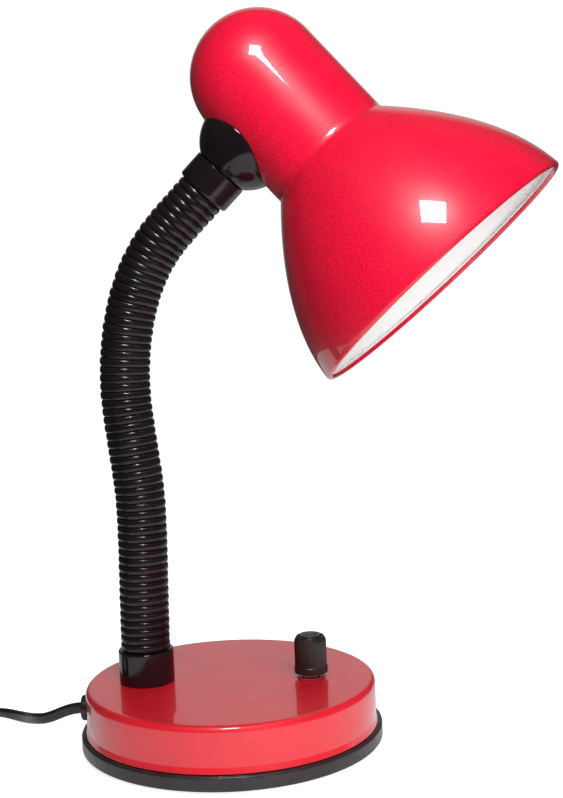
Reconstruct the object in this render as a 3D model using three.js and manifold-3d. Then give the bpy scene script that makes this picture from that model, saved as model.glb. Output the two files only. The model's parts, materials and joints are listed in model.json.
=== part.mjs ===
// A flexible desk lamp: a weighted round base with a rotary dimmer, a ribbed gooseneck,
// a ball joint and a bell-shaped steel shade with its lamp holder and bulb.
// Millimetres, +Z up. The origin is the centre of the face that rests on the table.
// +X runs from the foot of the neck towards the knob, and the neck is bent in the plane y = 0.
// Touching pieces keep the clearance GAP between them.

import * as THREE from "three";
import { mergeVertices } from "three/addons/utils/BufferGeometryUtils.js";
import Module from "manifold-3d";

// ---- Driving dimensions ----

const GAP = 0.3;

// base
const BASE_RADIUS = 72.5;
const BASE_HEIGHT = 31.35;
const BASE_EDGE_RADIUS = 3;
const BASE_WALL = 1.2;
const COVER_LIP = 2.9;
const COVER_HEIGHT = 7.2;
const COVER_FLOOR = 2.4;
const COVER_SPIGOT_WALL = 2;
const COVER_SPIGOT_HEIGHT = 4.5;
const PAD_INSET = 7.4;
const PAD_THICKNESS = 1.2;
const BALLAST_CLEARANCE = 7;
const BALLAST_THICKNESS = 9;
const COVER_SCREW_CIRCLE = 50;
const COVER_SCREW_COUNT = 3;
const COVER_SCREW_RADIUS = 1.6;
const COVER_SCREW_HEAD_RADIUS = 3.2;
const COVER_SCREW_HEAD_HEIGHT = 1.5;
const COVER_SCREW_LENGTH = 20;
const POST_RADIUS = 4;

// foot of the neck
const NECK_X = -41.9;
const BASE_COLLAR_RADIUS = 13.8;
const BASE_COLLAR_HEIGHT = 16.6;
const COLLAR_SEAT_DEPTH = 11;
const NIPPLE_RADIUS = 4.85;
const NIPPLE_BORE_RADIUS = 3.3;
const NIPPLE_BELOW_SHELL = 10;
const NECK_WASHER_RADIUS = 9;
const NECK_WASHER_THICKNESS = 1.5;
const NECK_NUT_ACROSS_FLATS = 14;
const NECK_NUT_HEIGHT = 4;

// gooseneck
const NECK_LENGTH = 237.75;
const NECK_LINKS = 15;
const RIBS_PER_LINK = 4;
const RIB_CREST_RADIUS = 12.45;
const RIB_VALLEY_RADIUS = 11.5;
const LINK_BORE_RADIUS = 7.5;
const LINK_SPACING_GAP = 2.6;
const CONDUIT_RADIUS = 6.6;
const CONDUIT_BORE_RADIUS = 5.4;
// The shape of the neck's bend, as [x, z] from its foot; NECK_LENGTH sets its size.
const NECK_BEND = [
  [0, 0],
  [0.4, 24],
  [1.1, 52],
  [1, 78],
  [-1.2, 102],
  [-3.3, 124],
  [-3, 144],
  [-0.1, 163.5],
  [5.5, 182],
  [14, 198.1],
  [25.3, 211.5],
  [38.7, 225.1],
];

// ball joint between the neck and the shade
const TOP_COLLAR_RADIUS = 14;
const TOP_COLLAR_EDGE = 1.2;
const TOP_COLLAR_SEAT_DEPTH = 5;
const JOINT_ABOVE_COLLAR = 32.2;
const DOME_RADIUS = 22.9;
const DOME_WALL = 2.5;
const DOME_DEPTH = 15.2;
const TILT_EACH_WAY = 18;
const STUD_RADIUS = 4.85;
const STUD_BORE_RADIUS = 3.3;
const SADDLE_THICKNESS = 2;
const SADDLE_LENGTH = 15;
const SADDLE_WIDTH = 22;
const STUD_NUT_RADIUS = 8;
const STUD_NUT_HEIGHT = 3;
const DOME_SCREW_OFFSET = 17.5;
const DOME_SCREW_RADIUS = 1.3;
const DOME_SCREW_HEAD_RADIUS = 2.4;
const DOME_SCREW_HEAD_HEIGHT = 1.5;
const DOME_SCREW_LENGTH = 6.5;
const DOME_BOSS_RADIUS = 2.6;

// shade, measured along its axis from the joint
const SHADE_PITCH = 48.6;
const HEAD_TURN = -8.55;
const SHADE_RADIUS = 32.7;
const SHADE_WALL = 0.8;
const CAP_CENTRE = -18.9;
const BELL_START = 33;
const MOUTH_AT = 109.7;
const MOUTH_RADIUS = 73.4;
const BEAD_RADIUS = 1.7;
const WIRE_HOLE_RADIUS = 5;

// lamp holder and bulb, along the shade's axis
const BRACKET_THICKNESS = 1.2;
const BRACKET_WIDTH = 16;
const BRACKET_AT = -23;
const HOLDER_RADIUS = 19.5;
const HOLDER_LENGTH = 42;
const HOLDER_WALL = 4;
const HOLDER_NECK_LENGTH = 7;
const HOLDER_NUT_HEIGHT = 3.5;
const SOCKET_RADIUS = 14.7;
const SOCKET_WALL = 1;
const SOCKET_LENGTH = 22;
const CONTACT_WIDTH = 8;
const BULB_CAP_RADIUS = 13.1;
const BULB_CAP_LENGTH = 26;
const BULB_TIP_AT = -11;
const BULB_RADIUS = 22.5;
const BULB_LENGTH = 78;
const BULB_GLASS_WALL = 1;

// knob and dimmer
const KNOB_X = 40.65;
const KNOB_RADIUS = 8.1;
const KNOB_BAND_RADIUS = 8.4;
const KNOB_BAND_HEIGHT = 3;
const KNOB_TOP_RADIUS = 6.6;
const KNOB_HEIGHT = 19.8;
const KNOB_ABOVE_BASE = 2.7;
const KNOB_FLUTES = 18;
const KNOB_FLUTE_DEPTH = 0.45;
const KNOB_CAVITY_RADIUS = 6.8;
const POINTER_WIDTH = 1.6;
const SHAFT_RADIUS = 3;
const SHAFT_HEIGHT_IN_KNOB = 9;
const BUSHING_RADIUS = 4;
const BUSHING_ABOVE_BASE = 5.6;
const DIMMER_RADIUS = 9;
const DIMMER_HEIGHT = 9;
const DIMMER_WASHER_RADIUS = 7;
const DIMMER_WASHER_THICKNESS = 0.8;
const DIMMER_NUT_ACROSS_FLATS = 10.6;
const DIMMER_NUT_HEIGHT = 2.2;
const BOARD_SIZE = [44, 30, 1.6];

// mains lead, a flat twin lead
const CORD_WIDTH = 5.6;
const CORD_THICKNESS = 3.5;
const CORD_EXIT_HEIGHT = 18;
const CORD_FLAT_FROM = 0.95;
const INNER_LEAD_FLAT_FROM = 0.35;
const LEAD_JOINT_OUTSIDE = 1;
const GROMMET_FLANGE_RADIUS = 6.4;
const GROMMET_FLANGE_THICKNESS = 3;
const GROMMET_NECK_RADIUS = 4.8;
const GROMMET_INNER_LENGTH = 7;
const TERMINAL_BLOCK_SIZE = [12, 22, 9];
const TERMINAL_BLOCK_PLACE = [-3, 12];
const CLAMP_X = -31;
const CLAMP_LENGTH = 6;
const CLAMP_WALL = 1.6;
const COIL_CENTRE = [-180, -0.3];
const COIL_OUTER_RADIUS = 45.3;
const COIL_INNER_RADIUS = 22.4;
const COIL_LAYERS = 2;
const COIL_LIFT = 0.8;
const TIE_THICKNESS = 0.5;
const TIE_WIDTH = 6;
const TIE_ANGLE = 20;
const PLUG_PLACE = [-210.8, -60.4];
const PLUG_HEADING = -75;
const PLUG_SLEEVE_LENGTH = 22;
const PLUG_BODY_LENGTH = 36;
const PLUG_WIDTH = 35;
const PLUG_BACK_WIDTH = 14;
const PLUG_THICKNESS = 13.7;
const PIN_RADIUS = 2;
const PIN_LENGTH = 19;
const PIN_SPACING = 18.6;

// The lead's route from the grommet to the coil, on the table from its last bend.
const CORD_ROUTE = [
  [-73.8, 0, 18],
  [-76.3, 0, 18],
  [-80.8, 0.3, 17.4],
  [-85.3, 1.2, 15.9],
  [-89.7, 2.8, 13.8],
  [-93.8, 5, 11.8],
  [-97.6, 7.8, 10.2],
  [-101, 11.1, 9],
  [-104, 14.9, 7.8],
  [-106.7, 19, 6.6],
  [-109.2, 23.3, 5.4],
  [-111.8, 27.4, 4.3],
  [-114.8, 31.3, 3.5],
  [-118.3, 34.8, 3],
  [-122.4, 37.8, 2.85],
  [-127.1, 40.2, 2.85],
  [-132.4, 42.1, 2.7],
  [-139, 43.8, 2.3],
  [-147, 44.8, 2.1],
  [-154, 45, 2.1],
];

// The lead's route from the coil to the plug's sleeve.
const TAIL_ROUTE = [
  [-216.8, -38.1, 3],
  [-214.7, -45.8, 3.9],
  [-212.8, -53.1, 5.6],
  [-211.05, -59.5, 6.7],
];

// ---- Materials ----

function finish(colour, roughness, metalness) {
  return new THREE.MeshStandardMaterial({ color: colour, roughness, metalness });
}

const redEnamel = finish("#d8102e", 0.18, 0);
const blackPlastic = finish("#1b1518", 0.3, 0);
const ribbedPlastic = finish("#201b1d", 0.42, 0);
const darkRim = finish("#2b2a2c", 0.6, 0);
const knobPlastic = finish("#26201f", 0.5, 0);
const steel = finish("#9b9ea3", 0.35, 1);
const chrome = finish("#c9ccd0", 0.12, 1);
const castIron = finish("#3c3d3f", 0.7, 1);
const brass = finish("#b5924a", 0.3, 1);
const felt = finish("#2d2c2e", 0.95, 0);
const bakelite = finish("#16130f", 0.35, 0);
const glass = finish("#f2f0ea", 0.25, 0);
const boardGreen = finish("#1f5a36", 0.5, 0);
const whitePlastic = finish("#e6e2d8", 0.45, 0);
const cordSheath = finish("#1c1b20", 0.38, 0);

// ---- Solids ----

const wasm = await Module();
wasm.setup();

// Keeps only the points of a closed geometry, merged, without the flat triangles at its poles.
function welded(geometry) {
  const bare = new THREE.BufferGeometry();
  bare.setAttribute("position", geometry.getAttribute("position").clone());
  if (geometry.index) {
    bare.setIndex(geometry.index.clone());
  }
  const merged = mergeVertices(bare, 1e-4);
  const kept = [];
  const index = merged.index.array;
  for (let i = 0; i < index.length; i += 3) {
    const [a, b, c] = index.slice(i, i + 3);
    if (a !== b && b !== c && c !== a) {
      kept.push(a, b, c);
    }
  }
  merged.setIndex(kept);
  return merged;
}

function toManifold(geometry) {
  const closed = welded(geometry);
  return new wasm.Manifold(
    new wasm.Mesh({
      numProp: 3,
      vertProperties: Float32Array.from(closed.getAttribute("position").array),
      triVerts: Uint32Array.from(closed.index.array),
    }),
  );
}

function toGeometry(manifold) {
  const mesh = manifold.getMesh();
  const geometry = new THREE.BufferGeometry();
  geometry.setAttribute("position", new THREE.BufferAttribute(mesh.vertProperties, 3));
  geometry.setIndex(new THREE.BufferAttribute(mesh.triVerts, 1));
  return geometry;
}

function cut(geometry, ...tools) {
  const body = tools.reduce((rest, tool) => rest.subtract(toManifold(tool)), toManifold(geometry));
  return toGeometry(body);
}

function join(geometry, ...others) {
  const body = others.reduce((rest, other) => rest.add(toManifold(other)), toManifold(geometry));
  return toGeometry(body);
}

function common(geometry, other) {
  return toGeometry(toManifold(geometry).intersect(toManifold(other)));
}

// A solid of revolution about +Z, from an outline of [radius, height] points.
function turned(outline, sides) {
  const points = outline.map(([radius, height]) => new THREE.Vector2(radius, height));
  if (THREE.ShapeUtils.isClockWise(points)) {
    points.reverse();
  }
  const onAxis = points.filter((point) => point.x === 0).length > 0;
  while (onAxis && !(points[0].x === 0 && points[points.length - 1].x === 0)) {
    points.push(points.shift());
  }
  if (!onAxis) {
    points.push(points[0].clone());
  }
  return new THREE.LatheGeometry(points, sides).rotateX(Math.PI / 2);
}

function cylinder(radius, low, high, sides = 24) {
  return turned([[0, low], [radius, low], [radius, high], [0, high]], sides);
}

function ring(inner, outer, low, high, sides = 24) {
  return turned([[inner, low], [outer, low], [outer, high], [inner, high]], sides);
}

function box(width, depth, height) {
  return new THREE.BoxGeometry(width, depth, height);
}

function prism(outline, low, high) {
  const shape = new THREE.Shape(outline.map(([x, y]) => new THREE.Vector2(x, y)));
  const settings = { depth: high - low, bevelEnabled: false };
  return new THREE.ExtrudeGeometry(shape, settings).translate(0, 0, low);
}

function polygon(sides, radius) {
  return Array.from({ length: sides }, (_, i) => {
    const angle = (2 * Math.PI * i) / sides;
    return [radius * Math.cos(angle), radius * Math.sin(angle)];
  });
}

// A hexagon nut about +Z with a round bore.
function hexNut(acrossFlats, bore, low, high) {
  const outside = prism(polygon(6, acrossFlats / Math.sqrt(3)), low, high);
  return cut(outside, cylinder(bore, low - 1, high + 1, 20));
}

// Points on an arc of a circle in an outline, from one angle to another in degrees.
function arc(centre, radius, from, to, steps) {
  return Array.from({ length: steps + 1 }, (_, i) => {
    const angle = THREE.MathUtils.degToRad(from + ((to - from) * i) / steps);
    return [centre[0] + radius * Math.cos(angle), centre[1] + radius * Math.sin(angle)];
  });
}

function smoothCurve(points) {
  return new THREE.CatmullRomCurve3(points.map((point) => new THREE.Vector3(...point)));
}

// A flat lead along a smooth curve through the given points. Its wide side stands on edge at the
// curve's start, and lies level from the share flatFrom of its length.
function flatLead(points, steps, flatFrom = 0) {
  const curve = smoothCurve(points);
  const section = flatOval(CORD_WIDTH, CORD_THICKNESS, 8).map((point) => new THREE.Vector2(...point));
  const settings = { depth: 1, steps, bevelEnabled: false };
  const lead = new THREE.ExtrudeGeometry(new THREE.Shape(section), settings);
  const vertices = lead.getAttribute("position");
  const upward = new THREE.Vector3(0, 0, 1);
  for (let i = 0; i < vertices.count; i += 1) {
    const along = THREE.MathUtils.clamp(vertices.getZ(i), 0, 1);
    const tangent = curve.getTangentAt(along);
    const left = upward.clone().cross(tangent).normalize();
    const above = tangent.clone().cross(left);
    const place = curve.getPointAt(along);
    const settled = along < flatFrom ? THREE.MathUtils.smoothstep(along, flatFrom / 2, flatFrom) : 1;
    const turn = (Math.PI / 2) * (1 - settled);
    const wide = vertices.getX(i);
    const thick = vertices.getY(i);
    place.addScaledVector(left, wide * Math.cos(turn) - thick * Math.sin(turn));
    place.addScaledVector(above, wide * Math.sin(turn) + thick * Math.cos(turn));
    vertices.setXYZ(i, place.x, place.y, place.z);
  }
  return lead;
}

function flatOval(width, height, sides) {
  return polygon(sides, 0.5).map(([x, y]) => [x * width, y * height]);
}

const lamp = new THREE.Group();

function addPiece(name, geometry, material, parent = lamp) {
  const piece = new THREE.Mesh(geometry, material);
  piece.name = name;
  parent.add(piece);
  return piece;
}

// ---- Base ----

const coverRadius = BASE_RADIUS + COVER_LIP;
const spigotRadius = BASE_RADIUS - BASE_WALL - GAP;
const padRadius = coverRadius - PAD_INSET;
const ballastRadius = spigotRadius - COVER_SPIGOT_WALL - BALLAST_CLEARANCE;
const coverLow = PAD_THICKNESS + GAP;
const coverTop = coverLow + COVER_HEIGHT;
const shellInside = BASE_HEIGHT - BASE_WALL;
const ballastLow = coverLow + COVER_FLOOR + GAP;
const ballastTop = ballastLow + BALLAST_THICKNESS;
const postLow = ballastTop + GAP;

const coverScrewPlaces = Array.from({ length: COVER_SCREW_COUNT }, (_, i) => {
  const angle = Math.PI / 2 + (2 * Math.PI * i) / COVER_SCREW_COUNT;
  return [COVER_SCREW_CIRCLE * Math.cos(angle), COVER_SCREW_CIRCLE * Math.sin(angle)];
});

function atCoverScrews(makeTool) {
  return coverScrewPlaces.map(([x, y]) => makeTool().translate(x, y, 0));
}

function addBaseShell() {
  const edge = [BASE_RADIUS - BASE_EDGE_RADIUS, BASE_HEIGHT - BASE_EDGE_RADIUS];
  const shell = turned(
    [
      [0, BASE_HEIGHT],
      ...arc(edge, BASE_EDGE_RADIUS, 90, 0, 3),
      [BASE_RADIUS, coverTop + GAP],
      [BASE_RADIUS - BASE_WALL, coverTop + GAP],
      ...arc(edge, BASE_EDGE_RADIUS - BASE_WALL, 0, 90, 2),
      [0, shellInside],
    ],
    40,
  );
  const posts = atCoverScrews(() => cylinder(POST_RADIUS, postLow, shellInside + BASE_WALL / 2, 12));
  const threads = atCoverScrews(() => cylinder(COVER_SCREW_RADIUS + GAP, 0, shellInside - 2, 12));
  const nippleHole = cylinder(NIPPLE_RADIUS + GAP, 20, 40, 20).translate(NECK_X, 0, 0);
  const bushingHole = cylinder(BUSHING_RADIUS + GAP, 20, 40, 20).translate(KNOB_X, 0, 0);
  const grommetHole = cylinder(GROMMET_NECK_RADIUS + GAP, 0, 20, 16)
    .rotateY(-Math.PI / 2)
    .translate(-BASE_RADIUS + 10, 0, CORD_EXIT_HEIGHT);
  const whole = join(shell, ...posts);
  addPiece("base_shell", cut(whole, ...threads, nippleHole, bushingHole, grommetHole), redEnamel);
}

function addBottomCover() {
  const cover = turned(
    [
      [0, coverLow],
      [coverRadius - 0.8, coverLow],
      [coverRadius, coverLow + 0.8],
      [coverRadius, coverTop - 0.8],
      [coverRadius - 0.8, coverTop],
      [spigotRadius, coverTop],
      [spigotRadius, coverTop + COVER_SPIGOT_HEIGHT],
      [spigotRadius - COVER_SPIGOT_WALL, coverTop + COVER_SPIGOT_HEIGHT],
      [spigotRadius - COVER_SPIGOT_WALL, coverLow + COVER_FLOOR],
      [0, coverLow + COVER_FLOOR],
    ],
    40,
  );
  const holes = atCoverScrews(() => cylinder(COVER_SCREW_RADIUS + GAP, 0, ballastLow, 12));
  const recesses = atCoverScrews(() => {
    const depth = COVER_SCREW_HEAD_HEIGHT + GAP;
    return cylinder(COVER_SCREW_HEAD_RADIUS + GAP, 0, coverLow + depth, 16);
  });
  addPiece("bottom_cover", cut(cover, ...holes, ...recesses), darkRim);
}

function addBallast() {
  const disc = cylinder(ballastRadius, ballastLow, ballastTop, 32);
  const holes = atCoverScrews(() => cylinder(COVER_SCREW_RADIUS + GAP, 0, 30, 12));
  addPiece("ballast_weight", cut(disc, ...holes), castIron);
}

function addPad() {
  const disc = cylinder(padRadius, 0, PAD_THICKNESS, 32);
  const openings = atCoverScrews(() => cylinder(COVER_SCREW_HEAD_RADIUS + 1, -1, 5, 12));
  addPiece("anti_slip_pad", cut(disc, ...openings), felt);
}

function addCoverScrews() {
  coverScrewPlaces.forEach(([x, y], i) => {
    const headTop = coverLow + COVER_SCREW_HEAD_HEIGHT;
    const screw = turned(
      [
        [0, coverLow],
        [COVER_SCREW_HEAD_RADIUS - 0.6, coverLow],
        [COVER_SCREW_HEAD_RADIUS, coverLow + 0.6],
        [COVER_SCREW_HEAD_RADIUS, headTop],
        [COVER_SCREW_RADIUS, headTop],
        [COVER_SCREW_RADIUS, headTop + COVER_SCREW_LENGTH],
        [0, headTop + COVER_SCREW_LENGTH],
      ],
      10,
    );
    addPiece(`cover_screw_${i + 1}`, screw, steel).position.set(x, y, 0);
  });
}

// ---- Foot of the neck ----

const baseCollarLow = BASE_HEIGHT + GAP;
const baseCollarTop = baseCollarLow + BASE_COLLAR_HEIGHT;
const conduitFoot = baseCollarTop - COLLAR_SEAT_DEPTH + GAP;

function addNeckFoot() {
  const foot = new THREE.Group();
  foot.position.set(NECK_X, 0, 0);
  lamp.add(foot);

  const seat = baseCollarTop - COLLAR_SEAT_DEPTH;
  const collar = turned(
    [
      [NIPPLE_RADIUS + GAP, baseCollarLow],
      [BASE_COLLAR_RADIUS - 0.6, baseCollarLow],
      [BASE_COLLAR_RADIUS, baseCollarLow + 0.6],
      ...arc([BASE_COLLAR_RADIUS - 1.5, baseCollarTop - 1.5], 1.5, 0, 90, 3),
      [CONDUIT_RADIUS + GAP, baseCollarTop],
      [CONDUIT_RADIUS + GAP, seat],
      [NIPPLE_RADIUS + GAP, seat],
    ],
    20,
  );
  addPiece("base_collar", collar, blackPlastic, foot);

  const nippleLow = shellInside - NIPPLE_BELOW_SHELL;
  const nipple = ring(NIPPLE_BORE_RADIUS, NIPPLE_RADIUS, nippleLow, seat + 6, 20);
  addPiece("neck_nipple", nipple, steel, foot);

  const washerTop = shellInside - GAP;
  const washerLow = washerTop - NECK_WASHER_THICKNESS;
  const washer = ring(NIPPLE_RADIUS + GAP, NECK_WASHER_RADIUS, washerLow, washerTop, 20);
  addPiece("neck_washer", washer, steel, foot);

  const nutTop = washerLow - GAP;
  const nut = hexNut(NECK_NUT_ACROSS_FLATS, NIPPLE_RADIUS + GAP, nutTop - NECK_NUT_HEIGHT, nutTop);
  addPiece("neck_nut", nut, steel, foot);
}

// ---- Gooseneck ----

function bendCurve(scale) {
  return new THREE.CatmullRomCurve3(
    NECK_BEND.map(([x, z]) => {
      return new THREE.Vector3(NECK_X + scale * x, 0, baseCollarTop + GAP + scale * z);
    }),
  );
}

const neckScale = NECK_LENGTH / bendCurve(1).getLength();
const neckCurve = bendCurve(neckScale);
const neckEnd = neckCurve.getPointAt(1);
const neckEndAxis = neckCurve.getTangentAt(1);
const linkPitch = NECK_LENGTH / NECK_LINKS;

// The turn about +Y that leads +Z to a direction in the plane of the neck.
function leanOf(direction) {
  return Math.atan2(direction.x, direction.z);
}

// One ribbed length of the neck about +Z, from -length / 2 to length / 2.
function ribbedLink() {
  const half = linkPitch / 2 - LINK_SPACING_GAP / 2;
  const ribPitch = linkPitch / RIBS_PER_LINK;
  const outline = [[LINK_BORE_RADIUS, -half], [RIB_VALLEY_RADIUS, -half]];
  for (let rib = 0; rib < RIBS_PER_LINK; rib += 1) {
    const crest = (rib + 0.5 - RIBS_PER_LINK / 2) * ribPitch;
    outline.push([RIB_CREST_RADIUS, crest]);
    if (rib < RIBS_PER_LINK - 1) {
      outline.push([RIB_VALLEY_RADIUS, crest + ribPitch / 2]);
    }
  }
  outline.push([RIB_VALLEY_RADIUS, half], [LINK_BORE_RADIUS, half]);
  return turned(outline, 10);
}

function addNeck() {
  for (let i = 0; i < NECK_LINKS; i += 1) {
    const along = (i + 0.5) / NECK_LINKS;
    const name = `neck_link_${String(i + 1).padStart(2, "0")}`;
    const link = addPiece(name, ribbedLink(), ribbedPlastic);
    link.position.copy(neckCurve.getPointAt(along));
    link.rotation.y = leanOf(neckCurve.getTangentAt(along));
  }
}

// The flexible steel conduit runs inside all the links, from collar to collar.
function addConduit() {
  const steps = 32;
  const points = [[NECK_X, 0, conduitFoot]];
  for (let i = 0; i <= steps; i += 1) {
    points.push(neckCurve.getPointAt(i / steps).toArray());
  }
  const seated = TOP_COLLAR_SEAT_DEPTH - GAP;
  points.push(neckEnd.clone().addScaledVector(neckEndAxis, GAP + seated).toArray());
  const curve = new THREE.CatmullRomCurve3(points.map((point) => new THREE.Vector3(...point)));
  const section = new THREE.Shape(polygon(10, CONDUIT_RADIUS).map((p) => new THREE.Vector2(...p)));
  section.holes.push(new THREE.Path(polygon(10, CONDUIT_BORE_RADIUS).map((p) => new THREE.Vector2(...p))));
  const settings = { steps: 24, extrudePath: curve, bevelEnabled: false };
  addPiece("flex_conduit", new THREE.ExtrudeGeometry(section, settings), steel);
}

// ---- Ball joint ----

// The top collar stands on the neck's end, with its own +Z along the neck there.
const neckTop = new THREE.Group();
neckTop.position.copy(neckEnd).addScaledVector(neckEndAxis, GAP);
neckTop.rotation.y = leanOf(neckEndAxis);
lamp.add(neckTop);

// The dome stands out of the shade by DOME_DEPTH, which places the shade over the joint.
const jointToWall = DOME_RADIUS - DOME_DEPTH;
const jointToShadeAxis = SHADE_RADIUS - jointToWall;
const jointCentre = neckEnd.clone().addScaledVector(neckEndAxis, GAP + JOINT_ABOVE_COLLAR);
const domeInside = DOME_RADIUS - DOME_WALL;
const saddleOuter = domeInside - GAP;
const saddleInner = saddleOuter - SADDLE_THICKNESS;
const nutSeat = JOINT_ABOVE_COLLAR - Math.sqrt(saddleInner ** 2 - STUD_NUT_RADIUS ** 2) + 2 * GAP;

// A ball about the joint's centre, as an outline turned about +Z.
function ball(radius, sides, rings) {
  return turned([[0, -radius], ...arc([0, 0], radius, -90, 90, rings).slice(1, -1), [0, radius]], sides);
}

function addTopCollar() {
  const seatRadius = DOME_RADIUS + GAP;
  const bore = STUD_RADIUS + GAP;
  const rimAngle = THREE.MathUtils.radToDeg(Math.acos((TOP_COLLAR_RADIUS - 0.5) / seatRadius));
  const boreAngle = THREE.MathUtils.radToDeg(Math.acos(bore / seatRadius));
  const seat = arc([0, JOINT_ABOVE_COLLAR], seatRadius, -rimAngle, -boreAngle, 3);
  const collar = turned(
    [
      [CONDUIT_RADIUS + GAP, 0],
      ...arc([TOP_COLLAR_RADIUS - TOP_COLLAR_EDGE, TOP_COLLAR_EDGE], TOP_COLLAR_EDGE, -90, 0, 2),
      [TOP_COLLAR_RADIUS, seat[0][1] - 0.5],
      ...seat,
      [bore, TOP_COLLAR_SEAT_DEPTH],
      [CONDUIT_RADIUS + GAP, TOP_COLLAR_SEAT_DEPTH],
    ],
    20,
  );
  addPiece("top_collar", collar, blackPlastic, neckTop);
}

function addPivotStud() {
  const stud = ring(STUD_BORE_RADIUS, STUD_RADIUS, 0.5, nutSeat + STUD_NUT_HEIGHT + 1, 20);
  addPiece("pivot_stud", stud, steel, neckTop);
  const nut = hexNut(2 * STUD_NUT_RADIUS * 0.86, STUD_RADIUS + GAP, nutSeat, nutSeat + STUD_NUT_HEIGHT);
  addPiece("stud_nut", nut, steel, neckTop);
}

// The saddle turns with the head about the stud, and the dome rocks over it.
const headTurn = new THREE.Group();
headTurn.position.copy(jointCentre);
headTurn.quaternion.setFromAxisAngle(neckEndAxis, THREE.MathUtils.degToRad(HEAD_TURN));
lamp.add(headTurn);

const saddleFrame = new THREE.Group();
saddleFrame.rotation.y = leanOf(neckEndAxis);
headTurn.add(saddleFrame);

function addSaddle() {
  const shell = cut(ball(saddleOuter, 32, 16), ball(saddleInner, 32, 16));
  const block = box(SADDLE_LENGTH, SADDLE_WIDTH, 30).translate(0, 0, -20);
  const plate = common(shell, block);
  const bore = cylinder(STUD_RADIUS + GAP, -40, 0, 20);
  addPiece("joint_saddle", cut(plate, bore), steel, saddleFrame);
}

// ---- Head: dome, shade, holder and bulb ----

// In the head's frame +X runs along the shade towards its mouth, and +Z from the joint to the shade.
const head = new THREE.Group();
head.rotation.y = THREE.MathUtils.degToRad(SHADE_PITCH);
headTurn.add(head);

// About the shade's axis: +Z of this frame is the axis, with heights measured from the joint.
const shadeFrame = new THREE.Group();
shadeFrame.position.set(0, 0, jointToShadeAxis);
shadeFrame.rotation.y = Math.PI / 2;
head.add(shadeFrame);

function alongShade(geometry) {
  return geometry.rotateY(Math.PI / 2).translate(0, 0, jointToShadeAxis);
}

function atDomeScrews(makeTool) {
  return [-1, 1].map((side) => makeTool().translate(side * DOME_SCREW_OFFSET, 0, 0));
}

// The slot that lets the dome rock over the stud, as wide as the stud.
function domeSlot() {
  const reach = 2 * DOME_RADIUS;
  const halfWidth = STUD_RADIUS + GAP;
  const spread = THREE.MathUtils.degToRad(TILT_EACH_WAY);
  const [across, down] = [reach * Math.sin(spread), reach * Math.cos(spread)];
  const outline = [[0, 0], [-across, -down], [across, -down]];
  const wedge = prism(outline, -halfWidth, halfWidth).rotateX(Math.PI / 2);
  const ends = [-spread, spread].map((angle) => cylinder(halfWidth, -reach, 0, 20).rotateY(angle));
  return join(wedge, ...ends);
}

function addDome() {
  const wall = cut(ball(DOME_RADIUS, 28, 14), ball(domeInside, 28, 14));
  const bosses = atDomeScrews(() => cylinder(DOME_BOSS_RADIUS, -DOME_RADIUS, 0, 12));
  const insideWall = () => ball(DOME_RADIUS - DOME_WALL / 2, 28, 14);
  const filled = join(wall, ...bosses.map((boss) => common(boss, insideWall())));
  const shadeSpace = alongShade(cylinder(SHADE_RADIUS + GAP, -60, 60, 48));
  const screwHoles = atDomeScrews(() => cylinder(DOME_SCREW_RADIUS + GAP, -screwTip - GAP, 0, 10));
  addPiece("swivel_dome", cut(filled, shadeSpace, domeSlot(), ...screwHoles), blackPlastic, head);
}

// The bell's outline is one smooth curve from the cylinder to the mouth.
function bellOutline(steps) {
  const length = MOUTH_AT - BELL_START;
  const spread = MOUTH_RADIUS - SHADE_RADIUS;
  const curve = new THREE.CubicBezierCurve(
    new THREE.Vector2(SHADE_RADIUS, BELL_START),
    new THREE.Vector2(SHADE_RADIUS + 0.43 * spread, BELL_START + 0.25 * length),
    new THREE.Vector2(SHADE_RADIUS + 0.935 * spread, BELL_START + 0.61 * length),
    new THREE.Vector2(MOUTH_RADIUS, MOUTH_AT),
  );
  return curve.getPoints(steps).map((point) => [point.x, point.y]);
}

// The same outline moved inwards by the wall, square to itself.
function inside(outline, wall) {
  return outline.map(([radius, height], i) => {
    const before = outline[Math.max(i - 1, 0)];
    const after = outline[Math.min(i + 1, outline.length - 1)];
    const run = [after[0] - before[0], after[1] - before[1]];
    const size = Math.hypot(...run);
    return [radius - (wall * run[1]) / size, height + (wall * run[0]) / size];
  });
}

function addShade() {
  const cap = arc([0, CAP_CENTRE], SHADE_RADIUS, -90, 0, 6).slice(1);
  const bell = bellOutline(8);
  const innerCap = arc([0, CAP_CENTRE], SHADE_RADIUS - SHADE_WALL, -90, 0, 6).slice(1);
  const innerBell = inside(bell, SHADE_WALL).slice(0, -1);
  innerBell[0] = [SHADE_RADIUS - SHADE_WALL, BELL_START + 0.4];
  const bead = arc([MOUTH_RADIUS - BEAD_RADIUS, MOUTH_AT], BEAD_RADIUS, 0, 235, 4);
  const shade = alongShade(
    turned(
      [
        [0, CAP_CENTRE - SHADE_RADIUS],
        ...cap,
        ...bell.slice(0, -1),
        ...bead,
        ...innerBell.reverse(),
        ...innerCap.reverse(),
        [0, CAP_CENTRE - SHADE_RADIUS + SHADE_WALL],
      ],
      32,
    ),
  );
  const wireHole = cylinder(WIRE_HOLE_RADIUS, -20, 0, 16);
  const screwHoles = atDomeScrews(() => cylinder(DOME_SCREW_RADIUS + GAP, -20, 0, 10));
  addPiece("shade", cut(shade, wireHole, ...screwHoles), redEnamel, head);
}

// Heights above the joint's centre, towards the shade's axis, are negative on the wall by the dome.
const wallInside = jointToShadeAxis - SHADE_RADIUS + SHADE_WALL;
const bracketLow = wallInside + 2 * GAP + wallCrown();
const bracketTop = bracketLow + BRACKET_THICKNESS;
const screwTip = DOME_SCREW_LENGTH - bracketTop;

// How far the round wall rises across the bracket's width.
function wallCrown() {
  const inner = SHADE_RADIUS - SHADE_WALL;
  return inner - Math.sqrt(inner ** 2 - (BRACKET_WIDTH / 2) ** 2);
}

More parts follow.
